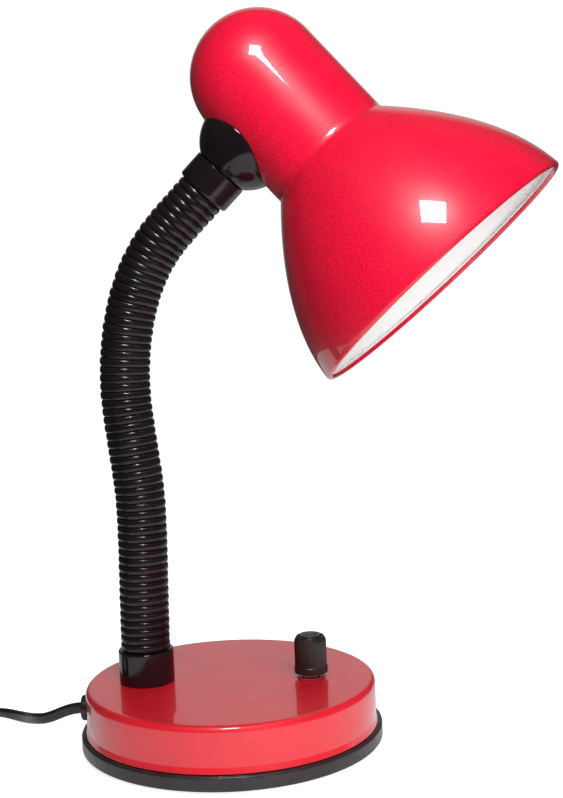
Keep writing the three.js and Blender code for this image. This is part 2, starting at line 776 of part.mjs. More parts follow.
function addDomeScrews() {
  [-1, 1].forEach((side, i) => {
    const seat = bracketTop + GAP;
    const screw = turned(
      [
        [0, -screwTip],
        [DOME_SCREW_RADIUS, -screwTip],
        [DOME_SCREW_RADIUS, seat],
        [DOME_SCREW_HEAD_RADIUS, seat],
        [DOME_SCREW_HEAD_RADIUS, seat + DOME_SCREW_HEAD_HEIGHT],
        [0, seat + DOME_SCREW_HEAD_HEIGHT],
      ],
      12,
    );
    addPiece(`dome_screw_${i + 1}`, screw, steel, head).position.x = side * DOME_SCREW_OFFSET;
  });
}

// A bent strip: one leg along the wall under the screws, the other across the shade's axis.
function addHolderBracket() {
  const legEnd = DOME_SCREW_OFFSET + DOME_SCREW_HEAD_RADIUS + 1.5;
  const upright = jointToShadeAxis + 11;
  const low = bracketLow;
  const outline = [
    [BRACKET_AT, low],
    [legEnd, low],
    [legEnd, bracketTop],
    [BRACKET_AT + BRACKET_THICKNESS, bracketTop],
    [BRACKET_AT + BRACKET_THICKNESS, upright],
    [BRACKET_AT, upright],
  ];
  const strip = prism(outline, -BRACKET_WIDTH / 2, BRACKET_WIDTH / 2).rotateX(Math.PI / 2);
  const wireHole = cylinder(WIRE_HOLE_RADIUS, -20, 10, 16);
  const screwHoles = atDomeScrews(() => cylinder(DOME_SCREW_RADIUS + GAP, -20, 10, 10));
  const neckHole = alongShade(cylinder(NIPPLE_RADIUS + GAP, BRACKET_AT - 5, BRACKET_AT + 5, 16));
  addPiece("holder_bracket", cut(strip, wireHole, ...screwHoles, neckHole), steel, head);
}

const holderBack = BRACKET_AT + BRACKET_THICKNESS + GAP;
const holderMouth = holderBack + HOLDER_LENGTH;

function addLampHolder() {
  const bore = SOCKET_RADIUS + GAP;
  const holder = turned(
    [
      [NIPPLE_BORE_RADIUS, holderBack - HOLDER_NECK_LENGTH],
      [NIPPLE_RADIUS, holderBack - HOLDER_NECK_LENGTH],
      [NIPPLE_RADIUS, holderBack],
      [12, holderBack],
      [16.5, holderBack + 4],
      [16.5, holderBack + 14],
      [HOLDER_RADIUS, holderBack + 18],
      [HOLDER_RADIUS, holderMouth - 1],
      [HOLDER_RADIUS - 1, holderMouth],
      [bore, holderMouth],
      [bore, holderBack + HOLDER_WALL],
      [NIPPLE_BORE_RADIUS, holderBack + HOLDER_WALL],
    ],
    20,
  );
  addPiece("lamp_holder", holder, bakelite, shadeFrame);

  const nutTop = BRACKET_AT - GAP;
  const nut = hexNut(NECK_NUT_ACROSS_FLATS, NIPPLE_RADIUS + GAP, nutTop - HOLDER_NUT_HEIGHT, nutTop);
  addPiece("holder_nut", nut, steel, shadeFrame);

  const socketLow = holderMouth - SOCKET_LENGTH - 4;
  const socket = ring(SOCKET_RADIUS - SOCKET_WALL, SOCKET_RADIUS, socketLow, holderMouth - 4, 20);
  addPiece("holder_socket", socket, brass, shadeFrame);

  const contactLow = holderBack + HOLDER_WALL + GAP;
  const contactTop = BULB_TIP_AT - GAP;
  const contact = box(CONTACT_WIDTH, CONTACT_WIDTH, contactTop - contactLow);
  contact.translate(0, 0, (contactTop + contactLow) / 2);
  addPiece("holder_contact", contact, brass, shadeFrame);
}

function addBulb() {
  const capTop = BULB_TIP_AT + BULB_CAP_LENGTH;
  const cap = turned(
    [
      [0, BULB_TIP_AT],
      [4.5, BULB_TIP_AT],
      [5, BULB_TIP_AT + 2],
      [BULB_CAP_RADIUS - 1, BULB_TIP_AT + 5.5],
      [BULB_CAP_RADIUS, BULB_TIP_AT + 6.5],
      [BULB_CAP_RADIUS, capTop],
      [BULB_CAP_RADIUS - 1, capTop],
      [BULB_CAP_RADIUS - 1, BULB_TIP_AT + 7],
      [0, BULB_TIP_AT + 4],
    ],
    20,
  );
  addPiece("bulb_cap", cap, brass, shadeFrame);

  const neckLow = capTop + GAP;
  const centre = BULB_TIP_AT + BULB_LENGTH - BULB_RADIUS;
  const outer = [[BULB_CAP_RADIUS, neckLow], [BULB_CAP_RADIUS + 0.6, neckLow + 5]];
  const globe = arc([0, centre], BULB_RADIUS, -47, 90, 7).slice(0, -1);
  const innerGlobe = arc([0, centre], BULB_RADIUS - BULB_GLASS_WALL, -46, 90, 7).slice(0, -1);
  const inner = outer.map(([radius, height]) => [radius - BULB_GLASS_WALL, height]);
  const bulb = turned(
    [
      ...outer,
      ...globe,
      [0, centre + BULB_RADIUS],
      [0, centre + BULB_RADIUS - BULB_GLASS_WALL],
      ...innerGlobe.reverse(),
      ...inner.reverse(),
    ],
    20,
  );
  addPiece("bulb_glass", bulb, glass, shadeFrame);
}

// ---- Knob and dimmer ----

const dimmerFrame = new THREE.Group();
dimmerFrame.position.set(KNOB_X, 0, 0);
lamp.add(dimmerFrame);

const knobLow = BASE_HEIGHT + KNOB_ABOVE_BASE;
const knobTop = knobLow + KNOB_HEIGHT;
const bushingTop = BASE_HEIGHT + BUSHING_ABOVE_BASE;
const knobCavityTop = bushingTop + 1;
const dimmerTop = shellInside - GAP;

// A fluted outline: the radius dips by the flute's depth at each flute.
function flutedOutline(radius) {
  return Array.from({ length: 2 * KNOB_FLUTES }, (_, i) => {
    const angle = (Math.PI * i) / KNOB_FLUTES;
    const size = i % 2 === 0 ? radius : radius - KNOB_FLUTE_DEPTH;
    return [size * Math.cos(angle), size * Math.sin(angle)];
  });
}

function addKnob() {
  const bandTop = knobLow + KNOB_BAND_HEIGHT;
  const shoulder = knobTop - 2.6;
  const band = cylinder(KNOB_BAND_RADIUS, knobLow, bandTop, 36);
  const grip = prism(flutedOutline(KNOB_RADIUS), bandTop - 0.5, shoulder + 0.5);
  const top = turned(
    [
      [0, shoulder],
      [KNOB_RADIUS - KNOB_FLUTE_DEPTH, shoulder],
      [KNOB_TOP_RADIUS, knobTop - 0.6],
      [KNOB_TOP_RADIUS - 1, knobTop - 0.3],
      [0, knobTop],
    ],
    36,
  );
  const cavity = cylinder(KNOB_CAVITY_RADIUS, knobLow - 1, knobCavityTop, 24);
  const bore = cylinder(SHAFT_RADIUS + GAP, knobLow, knobCavityTop + SHAFT_HEIGHT_IN_KNOB + GAP, 20);
  const pointer = box(KNOB_RADIUS, POINTER_WIDTH, 1.4);
  pointer.translate(KNOB_RADIUS * 0.85, 0, knobTop - 0.5);
  addPiece("control_knob", cut(join(band, grip, top), cavity, bore, pointer), knobPlastic, dimmerFrame);

  const shaftTop = knobCavityTop + SHAFT_HEIGHT_IN_KNOB;
  const shaft = cylinder(SHAFT_RADIUS, dimmerTop - DIMMER_HEIGHT / 2, shaftTop, 20);
  addPiece("dimmer_shaft", shaft, steel, dimmerFrame);
}

function addDimmer() {
  const low = dimmerTop - DIMMER_HEIGHT;
  const body = turned(
    [
      [0, low],
      [DIMMER_RADIUS, low],
      [DIMMER_RADIUS, dimmerTop],
      [BUSHING_RADIUS, dimmerTop],
      [BUSHING_RADIUS, bushingTop],
      [SHAFT_RADIUS + GAP, bushingTop],
      [SHAFT_RADIUS + GAP, dimmerTop - DIMMER_HEIGHT / 2 - GAP],
      [0, dimmerTop - DIMMER_HEIGHT / 2 - GAP],
    ],
    20,
  );
  addPiece("dimmer_body", body, steel, dimmerFrame);

  const washerLow = BASE_HEIGHT + GAP;
  const washerTop = washerLow + DIMMER_WASHER_THICKNESS;
  const washer = ring(BUSHING_RADIUS + GAP, DIMMER_WASHER_RADIUS, washerLow, washerTop, 20);
  addPiece("dimmer_washer", washer, chrome, dimmerFrame);

  const nutLow = washerTop + GAP;
  const nut = hexNut(DIMMER_NUT_ACROSS_FLATS, BUSHING_RADIUS + GAP, nutLow, nutLow + DIMMER_NUT_HEIGHT);
  addPiece("dimmer_nut", nut, chrome, dimmerFrame);

  const [length, width, thickness] = BOARD_SIZE;
  const boardTop = low - GAP;
  const board = box(length, width, thickness);
  const choke = cylinder(5.5, 0, 7, 12).translate(-26, 6, 0);
  const capacitor = box(11, 5, 8).translate(-26, -7, 4);
  const regulator = box(4, 10, 8.5).translate(-15, 8, 4.25);
  const parts = [choke, capacitor, regulator].map((part) => part.translate(10, 0, thickness / 2 - 0.2));
  const whole = join(board, ...parts).translate(-10, 0, boardTop - thickness / 2);
  addPiece("dimmer_board", whole, boardGreen, dimmerFrame);
}

// ---- Mains lead ----

const innerCordHeight = ballastTop + GAP + CORD_THICKNESS / 2 + GAP;

function addGrommet() {
  const flange = BASE_RADIUS + GAP + GROMMET_FLANGE_THICKNESS;
  const inner = BASE_RADIUS - BASE_WALL - GAP - GROMMET_INNER_LENGTH;
  const body = turned(
    [
      [0, inner],
      [3.9, inner],
      [GROMMET_NECK_RADIUS - 0.2, BASE_RADIUS - BASE_WALL - 3],
      [GROMMET_NECK_RADIUS, BASE_RADIUS - BASE_WALL - 1],
      [GROMMET_NECK_RADIUS, BASE_RADIUS + GAP],
      [GROMMET_FLANGE_RADIUS, BASE_RADIUS + GAP],
      [GROMMET_FLANGE_RADIUS, flange - 1.2],
      [GROMMET_FLANGE_RADIUS - 1.2, flange],
      [0, flange],
    ],
    20,
  );
  const passage = prism(flatOval(CORD_WIDTH + 3 * GAP, CORD_THICKNESS + 3 * GAP, 12), 0, 100);
  const upright = cut(body, passage);
  const grommet = upright.rotateY(-Math.PI / 2).translate(0, 0, CORD_EXIT_HEIGHT);
  addPiece("cord_grommet", grommet, blackPlastic);
}

function addInnerLead() {
  const [blockX, blockY] = TERMINAL_BLOCK_PLACE;
  const blockFace = blockX - TERMINAL_BLOCK_SIZE[0] / 2 - GAP;
  const start = -BASE_RADIUS - LEAD_JOINT_OUTSIDE;
  const points = [
    [start, 0, CORD_EXIT_HEIGHT],
    [start + 6, 0, CORD_EXIT_HEIGHT],
    [start + 10, 0, CORD_EXIT_HEIGHT],
    [CLAMP_X - 18, 0, innerCordHeight + 0.1],
    [CLAMP_X - 12, 0, innerCordHeight],
    [CLAMP_X, 0, innerCordHeight],
    [CLAMP_X + 7, blockY * 0.15, innerCordHeight],
    [blockFace - 6, blockY * 0.85, innerCordHeight],
    [blockFace - 1.5, blockY, innerCordHeight],
    [blockFace, blockY, innerCordHeight],
  ];
  addPiece("inner_lead", flatLead(points, 24, INNER_LEAD_FLAT_FROM), cordSheath);
}

function addCordClamp() {
  const low = ballastTop + GAP;
  const halfWidth = CORD_WIDTH / 2 + 3;
  const opening = [CORD_WIDTH / 2 + 2 * GAP, CORD_THICKNESS + 3 * GAP];
  const outline = [
    [-halfWidth, 0],
    [-opening[0], 0],
    [-opening[0], opening[1]],
    [opening[0], opening[1]],
    [opening[0], 0],
    [halfWidth, 0],
    [halfWidth, opening[1] + CLAMP_WALL],
    [-halfWidth, opening[1] + CLAMP_WALL],
  ];
  const arch = prism(outline, 0, CLAMP_LENGTH).rotateX(Math.PI / 2).rotateZ(Math.PI / 2);
  addPiece("cord_clamp", arch.translate(CLAMP_X - CLAMP_LENGTH / 2, 0, low), whitePlastic);
}

function addTerminalBlock() {
  const [length, width, height] = TERMINAL_BLOCK_SIZE;
  const [x, y] = TERMINAL_BLOCK_PLACE;
  const block = box(length, width, height);
  const wells = [-1, 0, 1].map((i) => cylinder(1.8, 0, height, 10).translate(0, (i * width) / 3.4, 0));
  const cutBlock = cut(block, ...wells);
  addPiece("terminal_block", cutBlock, whitePlastic).position.set(x, y, ballastTop + GAP + height / 2);
}

function addCord() {
  addPiece("power_cord", flatLead(CORD_ROUTE, 32, CORD_FLAT_FROM), cordSheath);
  addPiece("cord_tail", flatLead(TAIL_ROUTE, 6), cordSheath);

  const inner = COIL_INNER_RADIUS - CORD_WIDTH / 2;
  const outer = COIL_OUTER_RADIUS + CORD_WIDTH / 2;
  const top = COIL_LIFT + COIL_LAYERS * CORD_THICKNESS + GAP;
  const coil = turned(
    [
      [inner + 1, COIL_LIFT],
      [outer - 1, COIL_LIFT],
      [outer, COIL_LIFT + 1],
      [outer, top - 1],
      [outer - 1, top],
      [inner + 1, top],
      [inner, top - 1],
      [inner, COIL_LIFT + 1],
    ],
    24,
  );
  addPiece("cord_coil", coil, cordSheath).position.set(...COIL_CENTRE, 0);

  // The coil bows inside the band, so the band stands off by the bow on its inner side.
  const bow = inner - Math.sqrt(inner ** 2 - (TIE_WIDTH / 2) ** 2);
  const low = inner - bow - 3 * GAP;
  const high = outer + GAP;
  const floor = COIL_LIFT - GAP;
  const ceiling = top + GAP;
  const wrap = prism(
    [
      [low - TIE_THICKNESS, floor - TIE_THICKNESS],
      [high + TIE_THICKNESS, floor - TIE_THICKNESS],
      [high + TIE_THICKNESS, ceiling + TIE_THICKNESS],
      [low - TIE_THICKNESS, ceiling + TIE_THICKNESS],
    ],
    -TIE_WIDTH / 2,
    TIE_WIDTH / 2,
  );
  const opening = prism([[low, floor], [high, floor], [high, ceiling], [low, ceiling]], -TIE_WIDTH, TIE_WIDTH);
  const tie = addPiece("cord_tie", cut(wrap, opening).rotateX(Math.PI / 2), blackPlastic);
  tie.position.set(...COIL_CENTRE, 0);
  tie.rotation.z = THREE.MathUtils.degToRad(TIE_ANGLE);
}

function addPlug() {
  const plug = new THREE.Group();
  plug.position.set(...PLUG_PLACE, PLUG_THICKNESS / 2);
  plug.rotation.z = THREE.MathUtils.degToRad(PLUG_HEADING);
  lamp.add(plug);

  const bodyEnd = PLUG_SLEEVE_LENGTH + PLUG_BODY_LENGTH;
  const outline = [
    [PLUG_SLEEVE_LENGTH, -PLUG_BACK_WIDTH / 2],
    [PLUG_SLEEVE_LENGTH + 8, -PLUG_BACK_WIDTH / 2 - 2],
    [bodyEnd - 12, -PLUG_WIDTH / 2 + 1],
    [bodyEnd - 6, -PLUG_WIDTH / 2],
    [bodyEnd, -PLUG_WIDTH / 2],
    [bodyEnd, PLUG_WIDTH / 2],
    [bodyEnd - 6, PLUG_WIDTH / 2],
    [bodyEnd - 12, PLUG_WIDTH / 2 - 1],
    [PLUG_SLEEVE_LENGTH + 8, PLUG_BACK_WIDTH / 2 + 2],
    [PLUG_SLEEVE_LENGTH, PLUG_BACK_WIDTH / 2],
  ];
  const block = prism(outline, -PLUG_THICKNESS / 2, PLUG_THICKNESS / 2);
  const sleeve = turned([[0, 0.6], [3.6, 0.6], [4.8, PLUG_SLEEVE_LENGTH + 1], [0, PLUG_SLEEVE_LENGTH + 1]], 16);
  const body = join(block, sleeve.rotateY(Math.PI / 2));
  addPiece("plug_body", body, blackPlastic, plug);

  [-1, 1].forEach((side, i) => {
    const low = bodyEnd + GAP;
    const pin = turned(
      [
        [0, low],
        [PIN_RADIUS, low],
        [PIN_RADIUS, low + PIN_LENGTH - 1.2],
        [PIN_RADIUS - 1, low + PIN_LENGTH],
        [0, low + PIN_LENGTH],
      ],
      12,
    ).rotateY(Math.PI / 2);
    addPiece(`plug_pin_${i + 1}`, pin, chrome, plug).position.y = (side * PIN_SPACING) / 2;
  });
}

addPad();
addBottomCover();
addCoverScrews();
addBallast();
addBaseShell();
addNeckFoot();
addNeck();
addConduit();
addTopCollar();
addPivotStud();
addSaddle();
addDome();
addShade();
addDomeScrews();
addHolderBracket();
addLampHolder();
addBulb();
addKnob();
addDimmer();
addGrommet();
addInnerLead();
addCordClamp();
addTerminalBlock();
addCord();
addPlug();

export default lamp;
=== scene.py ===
"""A desk lamp: round weighted base with a dimmer knob, ribbed flexible neck, ball joint and bell shade.

Every new piece is a surface worked out with numpy in metres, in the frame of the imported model.
"""

import json
import math

import bmesh
import bpy
import numpy as np
from mathutils import Matrix

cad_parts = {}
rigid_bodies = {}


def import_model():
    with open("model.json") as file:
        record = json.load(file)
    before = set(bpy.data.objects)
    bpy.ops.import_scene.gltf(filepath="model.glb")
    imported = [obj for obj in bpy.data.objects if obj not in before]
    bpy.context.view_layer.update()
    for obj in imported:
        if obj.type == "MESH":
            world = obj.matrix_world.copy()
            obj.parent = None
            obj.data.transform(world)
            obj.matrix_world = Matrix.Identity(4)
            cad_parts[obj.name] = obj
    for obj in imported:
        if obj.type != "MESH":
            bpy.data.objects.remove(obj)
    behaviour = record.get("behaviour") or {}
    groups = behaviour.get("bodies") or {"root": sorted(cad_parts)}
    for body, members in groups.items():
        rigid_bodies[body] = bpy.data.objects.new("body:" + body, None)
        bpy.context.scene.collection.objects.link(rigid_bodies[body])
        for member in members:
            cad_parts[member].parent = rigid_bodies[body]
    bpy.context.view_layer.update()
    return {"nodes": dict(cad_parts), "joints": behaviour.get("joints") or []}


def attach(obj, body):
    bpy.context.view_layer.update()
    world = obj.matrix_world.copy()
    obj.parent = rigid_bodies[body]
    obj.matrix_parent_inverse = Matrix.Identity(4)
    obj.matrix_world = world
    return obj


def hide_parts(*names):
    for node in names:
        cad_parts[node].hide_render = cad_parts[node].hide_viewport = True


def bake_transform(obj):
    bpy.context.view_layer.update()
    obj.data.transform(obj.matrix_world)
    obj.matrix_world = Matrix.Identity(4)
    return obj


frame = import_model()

MM = 0.001
NODES = frame["nodes"]
JOINTS = {j["name"]: j for j in frame["joints"]}
UP = np.array([0.0, 0.0, 1.0])


# ---- Camera ----

CAMERA_YAW, CAMERA_PITCH, CAMERA_ROLL = np.radians([-3.1544, 6.9431, 2.2824])
CAMERA_PLACE = (0.07155, -0.73222, 0.26108)
CAMERA_LENS, SENSOR_WIDTH = 68.065, 36


def make_camera():
    """A long lens in front of the lamp, slightly above it, looking a little down and a little to the left."""
    yaw, pitch, roll = CAMERA_YAW, CAMERA_PITCH, CAMERA_ROLL
    ahead = np.array([math.sin(yaw) * math.cos(pitch), math.cos(yaw) * math.cos(pitch), -math.sin(pitch)])
    right = np.cross(ahead, UP)
    right /= np.linalg.norm(right)
    above = np.cross(right, ahead)
    right, above = (
        right * math.cos(roll) - above * math.sin(roll),
        right * math.sin(roll) + above * math.cos(roll),
    )
    data = bpy.data.cameras.new("camera")
    data.lens, data.sensor_width = CAMERA_LENS, SENSOR_WIDTH
    data.clip_start, data.clip_end = 0.02, 20
    camera = bpy.data.objects.new("camera", data)
    matrix = np.eye(4)
    matrix[:3, 0], matrix[:3, 1], matrix[:3, 2] = right, above, -ahead
    matrix[:3, 3] = CAMERA_PLACE
    camera.matrix_world = Matrix(matrix.tolist())
    bpy.context.scene.collection.objects.link(camera)
    bpy.context.scene.camera = camera


make_camera()


# ---- Mesh helpers ----

def grid_faces(rows, columns, close_rows=False, close_columns=True):
    """Quads of a grid of rows x columns points; either way round can run on to its own start."""
    i = np.arange(rows if close_rows else rows - 1)[:, None]
    j = np.arange(columns if close_columns else columns - 1)[None, :]
    a, b = i * columns + j, i * columns + (j + 1) % columns
    c, d = ((i + 1) % rows) * columns + (j + 1) % columns, ((i + 1) % rows) * columns + j
    return np.stack([a, b, c, d], axis=-1).reshape(-1, 4)


def outward(mesh):
    """Merges poles and seams, and turns the faces round if the signed volume is negative.

    The signed volume is the sum of a.(b x c)/6 over the triangles a, b, c.
    """
    work = bmesh.new()
    work.from_mesh(mesh)
    bmesh.ops.remove_doubles(work, verts=work.verts, dist=2e-7)
    if work.calc_volume(signed=True) < 0:
        bmesh.ops.reverse_faces(work, faces=work.faces)
    work.to_mesh(mesh)
    work.free()


def surface(name, points, faces, materials, face_finish=None):
    """A closed piece from an array of points and its faces, shaded smooth.

    face_finish gives the number of each face's material.
    """
    mesh = bpy.data.meshes.new(name)
    mesh.from_pydata(points.tolist(), [], faces.tolist())
    for m in materials:
        mesh.materials.append(m)
    if face_finish is not None:
        mesh.polygons.foreach_set("material_index", np.asarray(face_finish, np.int32))
    outward(mesh)
    mesh.polygons.foreach_set("use_smooth", np.ones(len(mesh.polygons), bool))
    piece = bpy.data.objects.new(name, mesh)
    bpy.context.scene.collection.objects.link(piece)
    return piece


def placed(points, origin, x, y, z):
    """Points in a sub-part's own axes, moved to the frame: origin + px x + py y + pz z."""
    return np.asarray(origin) + points @ np.stack([x, y, z])


def rounded(corners, steps=6, support=0.3):
    """A profile with its corners rounded: each row is radius, height and corner radius.

    A corner of radius q between unit directions u and v is a circle tangent to both, starting q tan(turn/2)
    before the corner. Two support points flank each arc.
    """
    corners = np.asarray(corners, float)
    out = []
    for k, (r, h, q) in enumerate(corners):
        here = np.array([r, h])
        if q <= 0 or k in (0, len(corners) - 1):
            out.append(here[None])
            continue
        u = here - corners[k - 1, :2]
        v = corners[k + 1, :2] - here
        lu, lv = np.linalg.norm(u), np.linalg.norm(v)
        u, v = u / lu, v / lv
        turn = math.acos(np.clip(u @ v, -1, 1))
        cut = min(q * math.tan(turn / 2), 0.49 * lu, 0.49 * lv)
        q = cut / math.tan(turn / 2)
        side = np.sign(u[0] * v[1] - u[1] * v[0])
        inward = side * np.array([-u[1], u[0]])
        centre = here - u * cut + inward * q
        a = np.linspace(0, turn, steps + 1)[:, None]
        arc = centre - inward * q * np.cos(a) + u * q * np.sin(a)
        before = here - u * (cut + min(support, 0.3 * (lu - cut)))
        after = here + v * (cut + min(support, 0.3 * (lv - cut)))
        out.append(np.concatenate([before[None], arc, after[None]]))
    return np.concatenate(out)


def turned(name, profile, materials, around=96, origin=(0, 0, 0), axes=None, row_finish=None, closed=False):
    """A profile of radius r and height h carried round an axis: (r cos a, r sin a, h), a from 0 to a full turn.

    A profile starts and ends on the axis, or is a closed loop. row_finish gives the material of each of its steps.
    """
    profile = np.asarray(profile, float) * MM
    a = np.arange(around) * 2 * math.pi / around
    r, h = profile[:, :1], profile[:, 1:]
    points = np.stack([r * np.cos(a), r * np.sin(a), h + 0 * a], axis=-1).reshape(-1, 3)
    x, y, z = axes if axes is not None else np.eye(3)
    points = placed(points, np.asarray(origin, float), x, y, z)
    faces = grid_faces(len(profile), around, close_rows=closed)
    finish = None if row_finish is None else np.repeat(np.asarray(row_finish), around)
    return surface(name, points, faces, materials, finish)


def spline(points, per_step):
    """A smooth curve through points, as a cubic between each two of them, b and c, with neighbours a and d.

    p(t) = (2b + (c - a)t + (2a - 5b + 4c - d)t^2 + (3b - a - 3c + d)t^3) / 2
    """
    p = np.asarray(points, float)
    p = np.concatenate([2 * p[:1] - p[1:2], p, 2 * p[-1:] - p[-2:-1]])
    t = (np.arange(per_step) / per_step)[None, :, None]
    a, b, c, d = p[:-3, None], p[1:-2, None], p[2:-1, None], p[3:, None]
    q = (2 * b + (c - a) * t + (2 * a - 5 * b + 4 * c - d) * t**2 + (3 * b - a - 3 * c + d) * t**3) / 2
    return np.concatenate([q.reshape(-1, p.shape[1]), p[-2:-1]])


def add(piece, body, slot, *replaced):
    """The piece rides on a body and stands for CAD nodes, which it hides. The slot is not used."""
    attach(piece, body)
    if replaced:
        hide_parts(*replaced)
    return piece


# ---- Finishes ----

def finish(name, colour, roughness, metallic=0.0, tone=(40, 0.08), polish=(90, 0.05), relief=((900, 4e-6),),
           specks=None, coat=0.0, coat_roughness=0.03, ior=1.5, transmission=0.0, alpha=1.0):
    """A procedural finish on Object coordinates.

    Colour: the base colour, lighter and darker by tone = (noise scale, share). Roughness: a range polish = (scale,
    half width) about its value. Relief: bumps of noise, each (scale, depth in metres).
    Specks: (scale, cover, colour).
    """
    material = bpy.data.materials.new(name)
    material.use_nodes = True
    nodes, links = material.node_tree.nodes, material.node_tree.links
    shader = nodes["Principled BSDF"]
    where = nodes.new("ShaderNodeTexCoord").outputs["Object"]

    def noise(scale, detail=3.0):
        node = nodes.new("ShaderNodeTexNoise")
        node.inputs["Scale"].default_value = scale
        node.inputs["Detail"].default_value = detail
        links.new(where, node.inputs["Vector"])
        return node.outputs["Fac"]

    def ramp(value, low, high, to_low, to_high):
        node = nodes.new("ShaderNodeMapRange")
        for socket, number in zip(("From Min", "From Max", "To Min", "To Max"), (low, high, to_low, to_high)):
            node.inputs[socket].default_value = number
        links.new(value, node.inputs["Value"])
        return node.outputs["Result"]

    def blend_colours(value, first, second):
        node = nodes.new("ShaderNodeMix")
        node.data_type = "RGBA"
        links.new(value, node.inputs["Factor"])
        for socket, given in zip((6, 7), (first, second)):
            if isinstance(given, tuple):
                node.inputs[socket].default_value = (*given, 1)
            else:
                links.new(given, node.inputs[socket])
        return node.outputs[2]

    scale, share = tone
    darker = tuple(c * (1 - share) for c in colour)
    lighter = tuple(min(1.0, c * (1 + share)) for c in colour)
    tint = blend_colours(ramp(noise(scale), 0.35, 0.65, 0, 1), darker, lighter)
    if specks:
        scale, cover, speck_colour = specks
        tint = blend_colours(ramp(noise(scale, 1.0), 1 - cover, 1 - cover * 0.6, 0, 1), tint, speck_colour)
    links.new(tint, shader.inputs["Base Color"])
    scale, half = polish
    gloss = ramp(noise(scale), 0.3, 0.7, max(0.0, roughness - half), roughness + half)
    links.new(gloss, shader.inputs["Roughness"])
    normal = None
    for scale, depth in relief:
        bump = nodes.new("ShaderNodeBump")
        bump.inputs["Distance"].default_value = depth
        bump.inputs["Strength"].default_value = 1.0
        links.new(noise(scale), bump.inputs["Height"])
        if normal is not None:
            links.new(normal, bump.inputs["Normal"])
        normal = bump.outputs["Normal"]
    links.new(normal, shader.inputs["Normal"])
    for socket, number in (
        ("Metallic", metallic), ("IOR", ior), ("Transmission Weight", transmission), ("Coat Weight", coat),
        ("Coat Roughness", coat_roughness), ("Alpha", alpha),
    ):
        shader.inputs[socket].default_value = number
    return material


SHADE_RED = finish("shade_red_enamel", (0.80, 0.003, 0.030), 0.40, tone=(26, 0.05), polish=(60, 0.05),
                   relief=((160, 5e-6), (900, 1.2e-6)), specks=(1500, 0.57, (0.47, 0.002, 0.032)),
                   coat=1.0, coat_roughness=0.045)
BASE_RED = finish("base_red_enamel", (0.66, 0.010, 0.022), 0.42, tone=(30, 0.05), polish=(60, 0.05),
                  relief=((140, 5e-6), (800, 1e-6)), specks=(1500, 0.50, (0.56, 0.009, 0.022)),
                  coat=1.0, coat_roughness=0.06)
INNER_WHITE = finish("white_enamel", (0.92, 0.92, 0.91), 0.34, tone=(30, 0.02), polish=(70, 0.05),
                     relief=((20, 1e-6),))
BLACK_GLOSS = finish("black_gloss_plastic", (0.007, 0.0045, 0.006), 0.13, tone=(60, 0.2), polish=(150, 0.05),
                     relief=((500, 3e-6),))
SLEEVE_BLACK = finish("black_sleeve_plastic", (0.007, 0.005, 0.007), 0.24, tone=(90, 0.25), polish=(200, 0.07),
                      relief=((300, 1.2e-5), (2500, 2e-6)))
RIM_BLACK = finish("dark_rim_plastic", (0.022, 0.018, 0.020), 0.34, tone=(70, 0.2), polish=(240, 0.08),
                   relief=((1500, 5e-6),))
KNOB_BLACK = finish("knob_plastic", (0.016, 0.012, 0.012), 0.36, tone=(120, 0.2), polish=(300, 0.08),
                    relief=((2200, 6e-6),))
STEEL = finish("zinc_plated_steel", (0.56, 0.56, 0.55), 0.34, metallic=1.0, tone=(200, 0.1), polish=(400, 0.1),
               relief=((1800, 4e-6),))
CHROME = finish("bright_nickel", (0.80, 0.80, 0.78), 0.13, metallic=1.0, tone=(150, 0.04), polish=(500, 0.05),
                relief=((1200, 2e-6),))
IRON = finish("cast_ballast_iron", (0.045, 0.045, 0.048), 0.62, metallic=0.4, tone=(90, 0.2), polish=(200, 0.1),
              relief=((400, 4e-5), (1500, 1e-5)))
BRASS = finish("brass", (0.78, 0.56, 0.24), 0.26, metallic=1.0, tone=(160, 0.08), polish=(400, 0.08),
               relief=((1500, 3e-6),))
FELT = finish("grey_felt", (0.060, 0.060, 0.065), 0.95, tone=(500, 0.3), polish=(900, 0.04),
              relief=((1500, 1.2e-4), (4000, 4e-5)))
HOLDER_BLACK = finish("holder_phenolic", (0.018, 0.016, 0.015), 0.30, tone=(90, 0.2), polish=(250, 0.08),
                      relief=((1300, 5e-6),))
BULB_GLASS = finish("opal_bulb_glass", (0.90, 0.90, 0.88), 0.12, tone=(60, 0.02), polish=(120, 0.04),
                    relief=((300, 3e-6),), ior=1.5, transmission=0.25)
CIRCUIT = finish("circuit_board", (0.03, 0.16, 0.07), 0.45, tone=(300, 0.2), polish=(500, 0.1),
                 relief=((1200, 2e-5),))
WHITE_PLASTIC = finish("white_nylon", (0.75, 0.75, 0.72), 0.42, tone=(120, 0.04), polish=(300, 0.08),
                       relief=((1200, 5e-6),))
CORD_BLACK = finish("cord_sheath", (0.011, 0.010, 0.012), 0.30, tone=(200, 0.2), polish=(400, 0.08),
                    relief=((900, 6e-6), (3000, 2e-6)))

CAD_FINISH = {
    STEEL: ("cover_screw_1", "cover_screw_2", "cover_screw_3", "neck_nipple", "neck_washer", "neck_nut",
            "pivot_stud", "stud_nut", "joint_saddle", "dome_screw_1", "dome_screw_2", "holder_bracket",
            "holder_nut", "dimmer_shaft", "dimmer_body"),
    CHROME: ("dimmer_washer", "dimmer_nut"),
    IRON: ("ballast_weight",),
    BRASS: ("holder_contact", "holder_socket"),
    FELT: ("anti_slip_pad",),
    CIRCUIT: ("dimmer_board",),
    WHITE_PLASTIC: ("cord_clamp", "terminal_block"),
    CORD_BLACK: ("inner_lead",),
    RIM_BLACK: ("bottom_cover",),
}
for cad_material, names in CAD_FINISH.items():
    for node_name in names:
        NODES[node_name].data.materials.clear()
        NODES[node_name].data.materials.append(cad_material)


# ---- Mains lead, coil and plug ----

